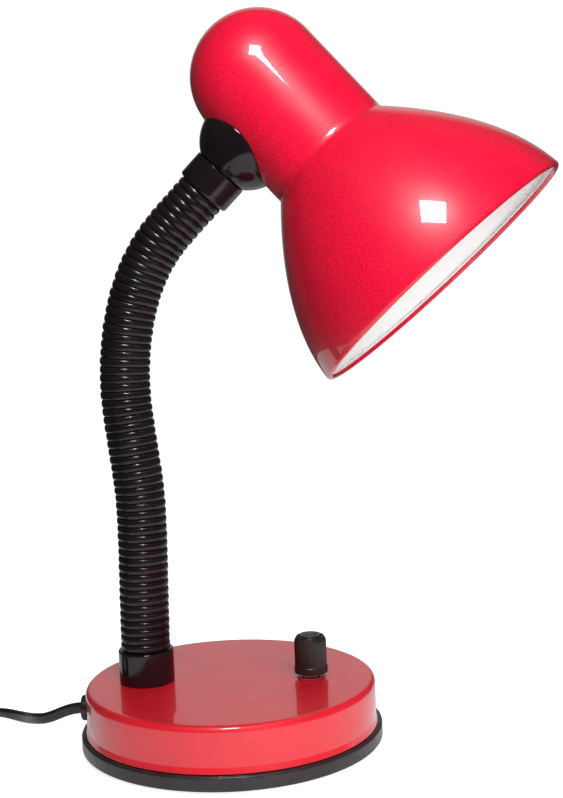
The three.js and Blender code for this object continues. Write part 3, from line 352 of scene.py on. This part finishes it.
LEAD_WIDTH, LEAD_THICKNESS = 5.6, 3.5
LEAD_POWER, WAIST_DEPTH, WAIST_WIDTH = 2.6, 0.16, 0.9
FLAT_FROM, FLAT_TO = 0.055, 0.105
COIL_CENTRE = (-180.0, -0.3)
COIL_OUTER, COIL_INNER = 45.3, 22.4
COIL_LOW, COIL_HIGH = 2.55, 6.05
LEAD_ROUTE = [
    (-73.8, 0, 18), (-76.3, 0, 18), (-80.8, 0.3, 17.4), (-85.3, 1.2, 15.9), (-89.7, 2.8, 13.8),
    (-93.8, 5, 11.8), (-97.6, 7.8, 10.2), (-101, 11.1, 9), (-104, 14.9, 7.8), (-106.7, 19, 6.6),
    (-109.2, 23.3, 5.4), (-111.8, 27.4, 4.3), (-114.8, 31.3, 3.5), (-118.3, 34.8, 3), (-122.4, 37.8, 2.85),
    (-127.1, 40.2, 2.85), (-132.4, 42.1, 2.7), (-139, 43.8, 2.3), (-147, 44.8, 2.1), (-154, 45, 2.1),
    (-161, 45, 2.3), (-168, 45, 2.45), (-174, 45, 2.53),
]
TAIL_ROUTE = [
    (-221.9, -19.2, 5.2), (-219.4, -28.6, 3.7), (-216.8, -38.1, 3), (-214.7, -45.8, 3.9),
    (-212.8, -53.1, 5.6), (-211.05, -59.5, 6.7), (-209.6, -64.9, 6.85),
]


def lead_path():
    """The lead's centreline: the route, a flat spiral inwards, a climb of a quarter turn, a spiral out, the tail.

    On a spiral the radius changes by one lane a turn. The climb is half a cosine from the lower to the upper
    layer.
    """
    low = np.radians(np.arange(90, 1530, 10))
    climb = np.radians(np.arange(1530, 1620, 10))
    high = np.radians(np.arange(1620, 3076, 10))
    angle = np.concatenate([low, climb, high])
    radius = np.interp(angle, [low[0], climb[0], high[0], math.radians(3075)],
                       [COIL_OUTER, COIL_INNER, COIL_INNER, COIL_OUTER])
    rise = np.clip((angle - climb[0]) / (high[0] - climb[0]), 0, 1)
    height = COIL_LOW + (COIL_HIGH - COIL_LOW) * (1 - np.cos(math.pi * rise)) / 2
    coil = np.stack([COIL_CENTRE[0] + radius * np.cos(angle), COIL_CENTRE[1] + radius * np.sin(angle), height], 1)
    return spline(np.concatenate([LEAD_ROUTE, coil, TAIL_ROUTE]), 3) * MM


def swept(name, path, section, materials, flat_from, flat_to):
    """A section carried along a path: left is up x ahead, above is ahead x left, and the ends close in a pole.

    The section is turned about ahead by a quarter turn before flat_from along the path, and less up to flat_to.
    """
    ahead = np.gradient(path, axis=0)
    steps = np.linalg.norm(ahead, axis=1, keepdims=True)
    ahead /= steps
    left = np.cross(UP, ahead)
    left /= np.linalg.norm(left, axis=1, keepdims=True)
    above = np.cross(ahead, left)
    settled = np.clip((np.cumsum(steps)[:, None] - flat_from) / (flat_to - flat_from), 0, 1)
    turn = math.pi / 2 * (1 - settled * settled * (3 - 2 * settled))
    wide = left * np.cos(turn) + above * np.sin(turn)
    thick = above * np.cos(turn) - left * np.sin(turn)
    rings = path[:, None] + section[None, :, :1] * wide[:, None] + section[None, :, 1:] * thick[:, None]
    poles = np.repeat(path[[0, -1], None], len(section), axis=1)
    points = np.concatenate([poles[:1], rings, poles[1:]]).reshape(-1, 3)
    return surface(name, points, grid_faces(len(path) + 2, len(section)), materials)


def lead_section(around=24):
    """Twin flat lead: a superellipse of the lead's width and thickness, waisted at its middle.

    (cos a)^(2/p) across and (sin a)^(2/p) up, with p the power; the waist is a bell curve of the place across.
    """
    a = np.arange(around) * 2 * math.pi / around
    across = np.sign(np.cos(a)) * np.abs(np.cos(a)) ** (2 / LEAD_POWER) * LEAD_WIDTH / 2
    up = np.sign(np.sin(a)) * np.abs(np.sin(a)) ** (2 / LEAD_POWER) * LEAD_THICKNESS / 2
    up *= 1 - WAIST_DEPTH * np.exp(-((across / WAIST_WIDTH) ** 2))
    return np.stack([across, up], 1) * MM


def make_plug():
    """A moulded plug: superellipse sections of half width w(x), half thickness t(x) and power n(x) along it.

    The sleeve's radius grows from 3.6 to 4.8 with square grooves; over the shoulders it swells to the body.
    """
    length = np.concatenate([np.linspace(0, 22, 45), np.linspace(22.6, 55, 34), np.linspace(55.4, 58, 10)])
    sleeve = np.interp(length, [0, 22], [3.6, 4.8])
    groove = 0.55 * (np.sin(length * 2 * math.pi / 3.6) > 0.25) * ((length > 3) & (length < 20))
    swell = np.clip((length - 21) / 22, 0, 1)
    swell = swell * swell * (3 - 2 * swell)
    shoulder = np.clip((length - 21) / 14, 0, 1)
    shoulder = shoulder * shoulder * (3 - 2 * shoulder)
    edge = np.sqrt(np.clip(1 - ((length - 55) / 3.01) ** 2, 0, 1))
    edge = np.where(length > 55, edge, 1.0)
    width = (sleeve - groove) * (1 - swell) + 17.5 * swell - 2.2 * (1 - edge)
    thick = (sleeve - groove) * (1 - shoulder) + 6.85 * shoulder - 2.2 * (1 - edge)
    power = 2 + 1.6 * swell
    a = np.arange(64) * 2 * math.pi / 64
    cos, sin = np.cos(a)[None], np.sin(a)[None]
    y = np.sign(cos) * np.abs(cos) ** (2 / power[:, None]) * width[:, None]
    z = np.sign(sin) * np.abs(sin) ** (2 / power[:, None]) * thick[:, None]
    body = np.stack([length[:, None] + 0 * y, y, z], axis=-1)
    ends = np.zeros((2, 64, 3))
    ends[1, :, 0] = 58
    points = np.concatenate([ends[:1], body, ends[1:]]).reshape(-1, 3) * MM
    heading = math.radians(-75)
    x = np.array([math.cos(heading), math.sin(heading), 0])
    y_axis = np.array([-math.sin(heading), math.cos(heading), 0])
    origin = np.array([-210.8, -60.4, 6.85]) * MM
    plug = surface("plug", placed(points, origin, x, y_axis, UP), grid_faces(len(length) + 2, 64), [CORD_BLACK])
    add(plug, "base", "cord_sheath", "plug_body")
    pins = []
    for k, side in enumerate((-1, 1)):
        profile = rounded([(0, 55, 0), (2, 55, 0), (2, 77.3, 1.1), (0, 77.3, 0)], 5)
        place = origin + side * 9.3 * MM * y_axis
        pin = turned(f"plug_prong_{k + 1}", profile, [CHROME], 32, place, (y_axis, UP, x))
        pins.append(add(pin, "base", "bright_chrome", f"plug_pin_{k + 1}"))
    return [plug, *pins]


def make_tie():
    """A soft band round the coil: a flat section, 6 wide and 0.5 thick, along a rounded rectangle."""
    low, high = COIL_INNER - LEAD_WIDTH / 2 - 1.0, COIL_OUTER + LEAD_WIDTH / 2 + 0.3
    bottom, top = 0.32, 8.4
    corners = [
        (low, bottom, 0), (high, bottom, 2.0), (high, top, 2.0), (low, top, 2.0), (low, bottom, 2.0), (high, bottom, 0),
    ]
    loop = rounded(corners, 5)[1:-1]
    centre = loop.mean(0)
    across = np.array([-3.0, -2.8, 2.8, 3.0, 2.8, -2.8])
    proud = np.array([0.0, 0.25, 0.25, 0.0, -0.25, -0.25])
    ahead = np.roll(loop, -1, 0) - np.roll(loop, 1, 0)
    ahead /= np.linalg.norm(ahead, axis=1, keepdims=True)
    out = np.stack([ahead[:, 1], -ahead[:, 0]], 1)
    out *= np.sign(((loop - centre) * out).sum(1))[:, None]
    flat = loop[:, None] + out[:, None] * proud[None, :, None]
    points = np.stack([flat[..., 0], across[None] + 0 * flat[..., 0], flat[..., 1]], -1).reshape(-1, 3) * MM
    turn = math.radians(20)
    x = np.array([math.cos(turn), math.sin(turn), 0])
    y = np.array([-math.sin(turn), math.cos(turn), 0])
    origin = np.array([*COIL_CENTRE, 0]) * MM
    points = placed(points, origin, x, y, UP)
    tie = surface("coil_tie", points, grid_faces(len(loop), 6, close_rows=True), [BLACK_GLOSS])
    return add(tie, "base", "black_gloss", "cord_tie")


path = lead_path()
lead = swept("mains_lead", path, lead_section(), [CORD_BLACK], FLAT_FROM, FLAT_TO)
add(lead, "base", "cord_sheath", "power_cord", "cord_tail", "cord_coil")
tie = make_tie()
make_plug()


# ---- Base ----

def make_base():
    """Lathe work about the upright axis through the origin: pan, rim, neck collar and the lead's grommet."""
    pan = rounded([
        (0, 31.35, 0), (72.5, 31.35, 3.0), (72.5, 12.2, 2.5), (73.3, 9.05, 0.3), (71.9, 9.05, 0.3),
        (71.3, 11.0, 0.6), (71.3, 30.15, 1.8), (0, 30.15, 0),
    ], 8)
    add(turned("base_pan", pan, [BASE_RED], 192), "base", "red_enamel", "base_shell")

    rim = rounded([
        (72.2, 8.0, 0), (72.2, 8.75, 0.2), (75.4, 8.75, 1.3), (75.4, 1.45, 0.9), (71.0, 1.45, 0.3), (71.0, 2.6, 0),
    ], 6)
    add(turned("rim_band", rim, [RIM_BLACK], 192, closed=True), "base", "dark_rim")

    collar = rounded([
        (0, 31.45, 0), (13.2, 31.45, 0), (13.8, 32.1, 0.3), (13.8, 48.25, 1.5), (11.9, 48.25, 0.3),
        (11.7, 47.4, 0.2), (0, 47.4, 0),
    ], 7)
    add(turned("neck_collar", collar, [BLACK_GLOSS], 96, (-0.0419, 0, 0)), "base", "black_gloss", "base_collar")

    grommet = rounded([
        (3.4, 2.2, 0), (3.4, 3.5, 0.5), (6.4, 3.5, 1.0), (6.4, 0.3, 0.4), (4.8, 0.3, 0.2), (4.8, -8.0, 0.5),
        (3.4, -8.0, 0),
    ], 5)
    side = (np.array([0, 1.0, 0]), np.array([0, 0, -1.0]), np.array([-1.0, 0, 0]))
    piece = turned("lead_grommet", grommet, [RIM_BLACK], 48, (-0.0723, 0, 0.018), side, closed=True)
    add(piece, "base", "black_gloss", "cord_grommet")


make_base()


# ---- Knob ----

def make_knob(flutes=36, around=288):
    """A knob: r(a, h) = profile(h) - depth s(h) |sin(flutes a / 2)|, a plain band below, a domed disc on its top.

    s(h) is 1 over the grip and falls to 0 at the band and the chamfer. The pointer notch is a dip on the +X side.
    """
    profile = rounded([
        (0, 34.05, 0), (8.35, 34.05, 0.4), (8.35, 37.3, 0.4), (8.0, 37.7, 0.1), (8.0, 50.6, 0.5), (6.9, 52.6, 0.5),
        (6.3, 52.75, 0.15), (6.15, 52.3, 0.15), (5.9, 52.35, 0.15), (5.6, 53.3, 0.5), (0, 53.7, 0),
    ], 4, 0.15)
    rows = [profile[:1]]
    for a, b in zip(profile[:-1], profile[1:]):
        n = max(1, int(np.linalg.norm(b - a) / 1.2))
        rows.append(a + (b - a) * (np.arange(1, n + 1) / n)[:, None])
    profile = np.concatenate(rows)
    angle = np.arange(around) * 2 * math.pi / around
    r, h = profile[:, :1], profile[:, 1:]
    grip = np.clip((h - 37.9) / 0.5, 0, 1) * np.clip((52.4 - h) / 1.6, 0, 1) * (r > 6.6)
    radius = r - 0.26 * grip * np.abs(np.sin(flutes * angle / 2)) ** 0.7
    x, y = radius * np.cos(angle), radius * np.sin(angle)
    notch = np.clip((1.0 - np.abs(y)) / 0.25, 0, 1) * (x > 2.0) * (h > 50.5) * np.clip((x - 2.0) / 0.4, 0, 1)
    height = h - 1.1 * notch + 0 * angle
    points = np.stack([x, y, height], -1).reshape(-1, 3) * MM + np.array([0.04065, 0, 0])
    knob = surface("dimmer_knob", points, grid_faces(len(profile), around), [KNOB_BLACK])
    add(knob, "knob", "knob_plastic", "control_knob")


make_knob()


# ---- Flexible neck ----

LINKS, RIBS = 15, 4
LINK_LENGTH = 237.75 / LINKS
CREST, VALLEY, SLEEVE_BORE = 12.45, 11.15, 10.2
BEAD_POWER, BEND_REACH = 2.3, 0.36
NECK_FOOT = np.array([-41.9, 0, 48.4])
NECK_HEAD = np.array([-3.25, 0, 273.3])
TOP_AXIS = np.array(JOINTS["head_swivel"]["axis"], float)
TOP_AXIS /= np.linalg.norm(TOP_AXIS)
PIVOT = np.array(JOINTS["head_swivel"]["pos_m"], float) / MM
neck_joints = sorted((j for n, j in JOINTS.items() if n.startswith("neck_")), key=lambda j: j["name"][-2:])
neck_bodies = [neck_joints[0]["parent"]] + [j["child"] for j in neck_joints]


def neck_line(s):
    """The neck's centreline and direction at s links from its foot: a cubic through both ends and the joints.

    Its slopes m solve m[i-1] + 4 m[i] + m[i+1] = 3 (p[i+1] - p[i-1]), with the two end slopes given.
    """
    p = np.concatenate([[NECK_FOOT], [np.array(j["pos_m"]) / MM for j in neck_joints], [NECK_HEAD]])
    n = len(p)
    system, right = np.eye(n), np.zeros((n, 3))
    i = np.arange(1, n - 1)
    system[i, i - 1], system[i, i], system[i, i + 1] = 1, 4, 1
    right[1:-1] = 3 * (p[2:] - p[:-2])
    right[0], right[-1] = UP * LINK_LENGTH, TOP_AXIS * LINK_LENGTH
    m = np.linalg.solve(system, right)
    s = np.asarray(s, float)
    k = np.clip(s.astype(int), 0, n - 2)
    t = (s - k)[:, None]
    a, b, c, d = p[k], m[k], p[k + 1], m[k + 1]
    place = a + b * t + (3 * (c - a) - 2 * b - d) * t**2 + (2 * (a - c) + b + d) * t**3
    slope = b + 2 * (3 * (c - a) - 2 * b - d) * t + 3 * (2 * (a - c) + b + d) * t**2
    return place, slope / np.linalg.norm(slope, axis=1, keepdims=True)


def bead_rows(first, last, steps=12):
    """Places along the neck, in links, and radii of its beads.

    r = crest - (crest - valley)(1 - (1 - |u|^p)^(1/p)), where u runs from -1 to 1 over a bead; the rows are set closer towards the grooves. Each bead's crest
    differs a little, by a sine of its number, as on a moulded sleeve.
    """
    beads = np.arange(round(first * RIBS), round(last * RIBS))
    w = np.linspace(-1, 1, steps + 1)[:-1]
    u = np.sin(w * math.pi / 2)
    s = (beads[:, None] + (u[None] + 1) / 2) / RIBS
    crest = CREST - 0.10 - 0.10 * np.sin(beads * 2.399)[:, None] * np.cos(beads * 0.7)[:, None]
    r = crest - (crest - VALLEY) * (1 - (1 - np.abs(u[None]) ** BEAD_POWER) ** (1 / BEAD_POWER))
    return np.append(s.ravel(), last), np.append(r.ravel(), VALLEY)


def neck_tube(name, rows, outer, bore, material, around):
    """A tube about the neck's line: rings of radius r in the plane across it, outside up and bore back down."""
    place, ahead = neck_line(np.concatenate([rows, rows[::-1]]))
    radius = np.concatenate([outer, np.full(len(rows), bore)])
    side = np.cross(np.array([0.0, 1.0, 0.0]), ahead)
    a = np.arange(around) * 2 * math.pi / around
    ring = np.cos(a)[None, :, None] * side[:, None] + np.sin(a)[None, :, None] * np.array([0.0, 1.0, 0.0])
    points = (place[:, None] + radius[:, None, None] * ring).reshape(-1, 3) * MM
    return surface(name, points, grid_faces(len(place), around, close_rows=True), [material])


def bend_with(piece, k, slot, *replaced):
    """The piece over joint k keeps its rest shape, baked into its points, and stands for CAD nodes, which it hides."""
    ends, _ = neck_line([k + 1 - BEND_REACH, k + 1 + BEND_REACH])
    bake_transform(piece)
    if replaced:
        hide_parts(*replaced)


def make_neck():
    """The sleeve and the conduit in it, in pieces from the middle of one link to the middle of the next."""
    spans = [(0.0, 0.5)] + [(k + 0.5, k + 1.5) for k in range(LINKS - 1)] + [(LINKS - 0.5, float(LINKS))]
    for number, (first, last) in enumerate(spans):
        rows, radii = bead_rows(first, last)
        sleeve = neck_tube(f"neck_sleeve_{number:02d}", rows, radii, SLEEVE_BORE, SLEEVE_BLACK, 72)
        turns = np.linspace(first, last, 9 if last - first > 0.6 else 5)
        wave = 6.35 + 0.22 * np.cos(turns * 2 * math.pi * 4)
        conduit = neck_tube(f"neck_conduit_{number:02d}", turns, wave, 5.5, STEEL, 24)
        if number == 0:
            add(sleeve, neck_bodies[0], "ribbed_sleeve", "neck_link_01")
            add(conduit, neck_bodies[0], "steel", "flex_conduit")
        elif number == LINKS:
            add(sleeve, neck_bodies[-1], "ribbed_sleeve", "neck_link_15")
            add(conduit, neck_bodies[-1], "steel")
        else:
            bend_with(sleeve, number - 1, "ribbed_sleeve", *([f"neck_link_{number:02d}"] if number > 1 else []))
            bend_with(conduit, number - 1, "steel")


make_neck()


# ---- Ball joint and shade ----

TILT_AXIS = np.array(JOINTS["head_tilt"]["axis"], float)
TILT_AXIS /= np.linalg.norm(TILT_AXIS)
SHADE_PITCH, HEAD_TURN = math.radians(48.6), math.radians(-8.55)


def head_axes():
    """The shade's own axes: x down its length to the mouth, y the tilt axis, z from the joint to the shade's axis.

    The shade leans SHADE_PITCH below level and is turned HEAD_TURN about the ball joint's stud.
    """
    flat_x = np.array([math.cos(SHADE_PITCH), 0, -math.sin(SHADE_PITCH)])
    k, c, s = TOP_AXIS, math.cos(HEAD_TURN), math.sin(HEAD_TURN)
    x = flat_x * c + np.cross(k, flat_x) * s + k * (k @ flat_x) * (1 - c)
    x -= TILT_AXIS * (x @ TILT_AXIS)
    x /= np.linalg.norm(x)
    return x, TILT_AXIS, np.cross(x, TILT_AXIS)


HEAD_X, HEAD_Y, HEAD_Z = head_axes()
SHADE_OFFSET, SHADE_RADIUS, SHADE_WALL = 25.0, 32.7, 0.8
CAP_CENTRE, BELL_START, MOUTH_AT, MOUTH_RADIUS = -18.9, 33.0, 109.7, 73.4
MOUTH_BEAD = 1.7
SHADE_CENTRE = (PIVOT + SHADE_OFFSET * HEAD_Z) * MM
SHADE_AXES = (HEAD_Y, HEAD_Z, HEAD_X)
DOME_RADIUS, DOME_WALL = 22.9, 2.5
SEAT_GAP, COLLAR_FOOT, COLLAR_RADIUS = 0.3, 32.5 - 0.3, 14.0


def make_top_collar():
    """The collar under the ball: lathe work about the stud, its seat hollowed by a sphere a gap larger than the ball."""
    seat = DOME_RADIUS + SEAT_GAP
    foot = -COLLAR_FOOT
    edge = COLLAR_RADIUS
    a = np.linspace(math.asin((edge - 0.5) / seat), 0, 14)
    hollow = np.stack([seat * np.sin(a), -seat * np.cos(a)], 1)
    rim_height = -math.sqrt(seat**2 - edge**2)
    outside = rounded([
        (0, foot, 0), (edge, foot, 1.6), (edge, foot + 2.75, 0.05), (edge - 0.18, foot + 2.9, 0.05),
        (edge, foot + 3.05, 0.05), (edge, rim_height - 0.2, 0.4), (edge - 0.5, hollow[0, 1], 0),
    ], 6)
    along = np.cross(np.array([0.0, 1.0, 0.0]), TOP_AXIS)
    axes = (along, np.array([0.0, 1.0, 0.0]), TOP_AXIS)
    collar = turned("top_neck_collar", np.concatenate([outside, hollow[1:]]), [BLACK_GLOSS], 96, PIVOT * MM, axes)
    add(collar, "neck_top", "black_gloss", "top_collar")


def make_dome(around=160, rows=40):
    """The ball: a sphere from the edge of the stud's slot to the line where it meets the shade's cylinder.

    At azimuth f about -z the slot is a stadium in angle, half length 18 and radius 12.2 degrees, and the cut solves
    (R cos t + o)^2 + (R sin t sin f)^2 = (shade radius + 0.05)^2 for the polar angle t.
    """
    f = np.arange(around) * 2 * math.pi / around
    half, radius = math.radians(18), math.radians(12.2)
    sin, cos = np.abs(np.sin(f)) + 1e-9, np.abs(np.cos(f))
    straight = radius / sin
    round_end = half * cos + np.sqrt(np.maximum(radius**2 - (half * sin) ** 2, 0))
    slot = np.where(straight * cos <= half, straight, round_end)
    big, off, reach = DOME_RADIUS, SHADE_OFFSET, SHADE_RADIUS + 0.05
    a = big**2 * cos**2
    b = 2 * big * off
    c = big**2 * sin**2 + off**2 - reach**2
    root = np.sqrt(np.maximum(b * b - 4 * a * c, 0))
    top = np.where(a > 1e-3, (-b + root) / (2 * np.maximum(a, 1e-3)), -c / b)
    cut = np.arccos(np.clip(top, -1, 1))
    share = np.linspace(0, 1, rows)[:, None]
    theta = slot[None] + (cut - slot)[None] * share
    wall = np.clip(1 - share / 0.03, 0, 1) * 0.5

    def shell(r):
        return np.stack([r * np.sin(theta) * np.cos(f), r * np.sin(theta) * np.sin(f), -r * np.cos(theta)], -1)

    outer = shell(DOME_RADIUS - wall)
    inner = shell(DOME_RADIUS - DOME_WALL + 0 * theta)[::-1]
    points = np.concatenate([outer, inner]).reshape(-1, 3) * MM
    points = placed(points, PIVOT * MM, HEAD_X, HEAD_Y, HEAD_Z)
    dome = surface("ball_dome", points, grid_faces(2 * rows, around, close_rows=True), [BLACK_GLOSS])
    add(dome, "head", "black_gloss", "swivel_dome")


def shade_profile():
    """The shade's outer line as radius and place along its axis: cap, barrel, bell.

    The cap is a half circle; the bell is a cubic curve whose handles give it a quick flare and a full middle,
    (1-t)^3 a + 3(1-t)^2 t b + 3(1-t) t^2 c + t^3 d.
    """
    a = np.linspace(0, math.pi / 2, 30)
    cap = np.stack([SHADE_RADIUS * np.sin(a), CAP_CENTRE - SHADE_RADIUS * np.cos(a)], 1)
    barrel = np.stack([np.full(16, SHADE_RADIUS), np.linspace(CAP_CENTRE, BELL_START, 18)[1:-1]], 1)
    spread, length = MOUTH_RADIUS - SHADE_RADIUS, MOUTH_AT - BELL_START
    handles = np.array([
        (SHADE_RADIUS, BELL_START),
        (SHADE_RADIUS + 0.43 * spread, BELL_START + 0.25 * length),
        (SHADE_RADIUS + 0.935 * spread, BELL_START + 0.61 * length),
        (MOUTH_RADIUS, MOUTH_AT),
    ])
    t = np.linspace(0, 1, 72)[:, None]
    bell = (
        (1 - t) ** 3 * handles[0] + 3 * (1 - t) ** 2 * t * handles[1]
        + 3 * (1 - t) * t**2 * handles[2] + t**3 * handles[3]
    )
    return np.concatenate([cap, barrel, bell])


def make_shade():
    """The shade: the outer line, a rolled bead at the mouth, and the same line set in by the wall."""
    outer = shade_profile()
    slope = np.gradient(outer, axis=0)
    slope /= np.linalg.norm(slope, axis=1, keepdims=True)
    inner = outer - SHADE_WALL * np.stack([slope[:, 1], -slope[:, 0]], 1)
    inner[0] = 0, outer[0, 1] + SHADE_WALL
    inner[:, 0] = np.maximum(inner[:, 0], 0)
    a = np.linspace(0, math.radians(298), 24)[1:]
    bead = np.stack([MOUTH_RADIUS - MOUTH_BEAD + MOUTH_BEAD * np.cos(a), MOUTH_AT + MOUTH_BEAD * np.sin(a)], 1)
    keep = inner[:, 1] < MOUTH_AT - MOUTH_BEAD
    profile = np.concatenate([outer, bead, inner[keep][::-1]])
    white_from = len(outer) + 14
    row_finish = (np.arange(len(profile) - 1) >= white_from).astype(int)
    shade = turned("bell_shade", profile, [SHADE_RED, INNER_WHITE], 360, SHADE_CENTRE, SHADE_AXES, row_finish)
    add(shade, "head", "red_enamel", "shade")


def make_lamp_holder():
    """Holder and bulb about the shade's axis: stepped skirt with a ribbed ring, threaded cap, opal globe."""
    holder = rounded([
        (0, -21.4, 0), (14.6, -21.4, 1.2), (16.5, -17.5, 1.0), (16.5, -7.0, 0.8), (19.2, -5.2, 0.8), (19.5, 7.0, 0.4),
        (18.9, 7.5, 0.2), (18.9, 9.0, 0.2), (19.5, 9.5, 0.4), (19.5, 20.4, 1.2), (17.3, 20.4, 0.4), (16.6, 18.6, 0.3),
        (15.2, 18.2, 0.3), (15.2, -10.9, 0.4), (0, -10.9, 0),
    ], 5)
    add(turned("socket_holder", holder, [HOLDER_BLACK], 96, SHADE_CENTRE, SHADE_AXES), "head",
        "holder_plastic", "lamp_holder")

    s = np.linspace(0, 1, 90)
    thread = 12.75 + 0.33 * np.sin(2 * math.pi * s * 6.5)
    body = np.stack([thread, -4.5 + 19.3 * s], 1)
    tip = [(0, -10.6), (3.6, -10.6), (4.4, -9.9), (4.6, -8.8), (9.4, -6.2)]
    cap = np.concatenate([tip, body, [(12.2, 15.1), (0, 15.1)]])
    add(turned("bulb_screw_cap", cap, [BRASS], 72, SHADE_CENTRE, SHADE_AXES), "head", "brass", "bulb_cap")

    a = np.linspace(math.radians(128), 0, 48)
    globe = np.stack([22.5 * np.sin(a), 44.5 + 22.5 * np.cos(a)], 1)
    t = np.linspace(0, 1, 20)[:-1, None]
    foot, lift = np.array([12.4, 15.3]), np.array([12.6, 23.5])
    meet = globe[0]
    lean = meet - 4.5 * np.array([-math.cos(a[0]), math.sin(a[0])])
    neck = (1 - t) ** 3 * foot + 3 * (1 - t) ** 2 * t * lift + 3 * (1 - t) * t**2 * lean + t**3 * meet
    profile = np.concatenate([[(0, 15.3)], neck, globe])
    profile[-1, 0] = 0
    add(turned("bulb_globe", profile, [BULB_GLASS], 96, SHADE_CENTRE, SHADE_AXES), "head", "bulb_glass", "bulb_glass")


make_top_collar()
make_dome()
make_shade()
make_lamp_holder()


# ---- Studio ----

FLOOR_GIVES, FLOOR_SHOWS = 0.18, 0.80
FLOOR_CENTRE, FLOOR_REACH, FLOOR_DROP = (0.06, 0.15), (0.36, 0.72), 0.0002
BACKDROP_SHOWS, ROOM_LIGHT, WALL_LIGHT = 1.05, 0.055, 0.60
PATCH_TOWARDS, PATCH_FROM, PATCH_FULL = (-0.093, 0.949, 0.300), 0.90, 0.975


def make_floor():
    """A pale flat floor round the lamp, glowing a little, so that it stays even and free of hard shadows.

    It shows FLOOR_SHOWS of glow to the camera and gives the lamp only FLOOR_GIVES.
    """
    material = bpy.data.materials.new("floor_white")
    material.use_nodes = True
    shader = material.node_tree.nodes["Principled BSDF"]
    shader.inputs["Base Color"].default_value = (0.85, 0.85, 0.85, 1)
    shader.inputs["Roughness"].default_value = 0.8
    shader.inputs["Emission Color"].default_value = (1, 1, 1, 1)
    ray = material.node_tree.nodes.new("ShaderNodeLightPath")
    glow = material.node_tree.nodes.new("ShaderNodeMapRange")
    glow.inputs["To Min"].default_value, glow.inputs["To Max"].default_value = FLOOR_GIVES, FLOOR_SHOWS
    material.node_tree.links.new(ray.outputs["Is Camera Ray"], glow.inputs["Value"])
    material.node_tree.links.new(glow.outputs["Result"], shader.inputs["Emission Strength"])
    a = np.arange(96) * 2 * math.pi / 96
    x, y = FLOOR_CENTRE[0] + FLOOR_REACH[0] * np.cos(a), FLOOR_CENTRE[1] + FLOOR_REACH[1] * np.sin(a)
    points = np.stack([x, y, 0 * a - FLOOR_DROP], 1)
    mesh = bpy.data.meshes.new("floor")
    mesh.from_pydata(points.tolist(), [], [list(range(96))])
    mesh.materials.append(material)
    floor = bpy.data.objects.new("floor", mesh)
    bpy.context.scene.collection.objects.link(floor)


def make_light(name, place, aim, size, power, seen_in_gloss=True, colour=(1, 1, 1)):
    """A rectangular soft light of a width and height in metres, aimed at a point, never seen directly."""
    data = bpy.data.lights.new(name, "AREA")
    data.shape, data.size, data.size_y, data.energy, data.color = "RECTANGLE", size[0], size[1], power, colour
    light = bpy.data.objects.new(name, data)
    back = np.asarray(place, float) - np.asarray(aim, float)
    back /= np.linalg.norm(back)
    x = np.cross(UP, back)
    x /= np.linalg.norm(x)
    matrix = np.eye(4)
    matrix[:3, 0], matrix[:3, 1], matrix[:3, 2], matrix[:3, 3] = x, np.cross(back, x), back, place
    light.matrix_world = Matrix(matrix.tolist())
    light.visible_camera = False
    light.visible_glossy = seen_in_gloss
    bpy.context.scene.collection.objects.link(light)


def make_world():
    """White where the camera sees it; for all other rays a dim room, with a bright low patch of wall behind.

    The patch is a ramp of the cosine between the ray and the patch's middle, none at PATCH_FROM and full at
    PATCH_FULL.
    """
    world = bpy.data.worlds.new("studio")
    world.use_nodes = True
    nodes, links = world.node_tree.nodes, world.node_tree.links
    nodes.clear()
    out, mix = nodes.new("ShaderNodeOutputWorld"), nodes.new("ShaderNodeMixShader")
    seen, room = nodes.new("ShaderNodeBackground"), nodes.new("ShaderNodeBackground")
    seen.inputs["Color"].default_value = (1, 1, 1, 1)
    seen.inputs["Strength"].default_value = BACKDROP_SHOWS
    towards = nodes.new("ShaderNodeVectorMath")
    towards.operation = "DOT_PRODUCT"
    towards.inputs[1].default_value = PATCH_TOWARDS
    wall = nodes.new("ShaderNodeMapRange")
    for socket, number in (
        ("From Min", PATCH_FROM), ("From Max", PATCH_FULL), ("To Min", ROOM_LIGHT), ("To Max", WALL_LIGHT),
    ):
        wall.inputs[socket].default_value = number
    links.new(nodes.new("ShaderNodeTexCoord").outputs["Generated"], towards.inputs[0])
    links.new(towards.outputs["Value"], wall.inputs["Value"])
    links.new(wall.outputs["Result"], room.inputs["Strength"])
    ray = nodes.new("ShaderNodeLightPath")
    links.new(ray.outputs["Is Camera Ray"], mix.inputs["Fac"])
    links.new(room.outputs["Background"], mix.inputs[1])
    links.new(seen.outputs["Background"], mix.inputs[2])
    links.new(mix.outputs["Shader"], out.inputs["Surface"])
    bpy.context.scene.world = world


make_floor()
make_light("softbox", (0.022, -0.352, 0.612), (0.08, -0.06, 0.27), (0.125, 0.125), 2.0)
make_light("front_fill", (0.62, -1.25, 0.75), (0.05, 0, 0.2), (0.9, 0.9), 18, seen_in_gloss=False)
make_light("mouth_fill", (0.42, -0.66, 0.02), (0.11, 0, 0.24), (0.5, 0.5), 2.4, seen_in_gloss=False)
make_light("back_top", (0.3, 0.9, 1.1), (0, 0, 0.2), (1.0, 0.8), 4, seen_in_gloss=False)
make_world()
bpy.context.scene.view_settings.view_transform = "Standard"
bpy.context.scene.view_settings.look = "None"
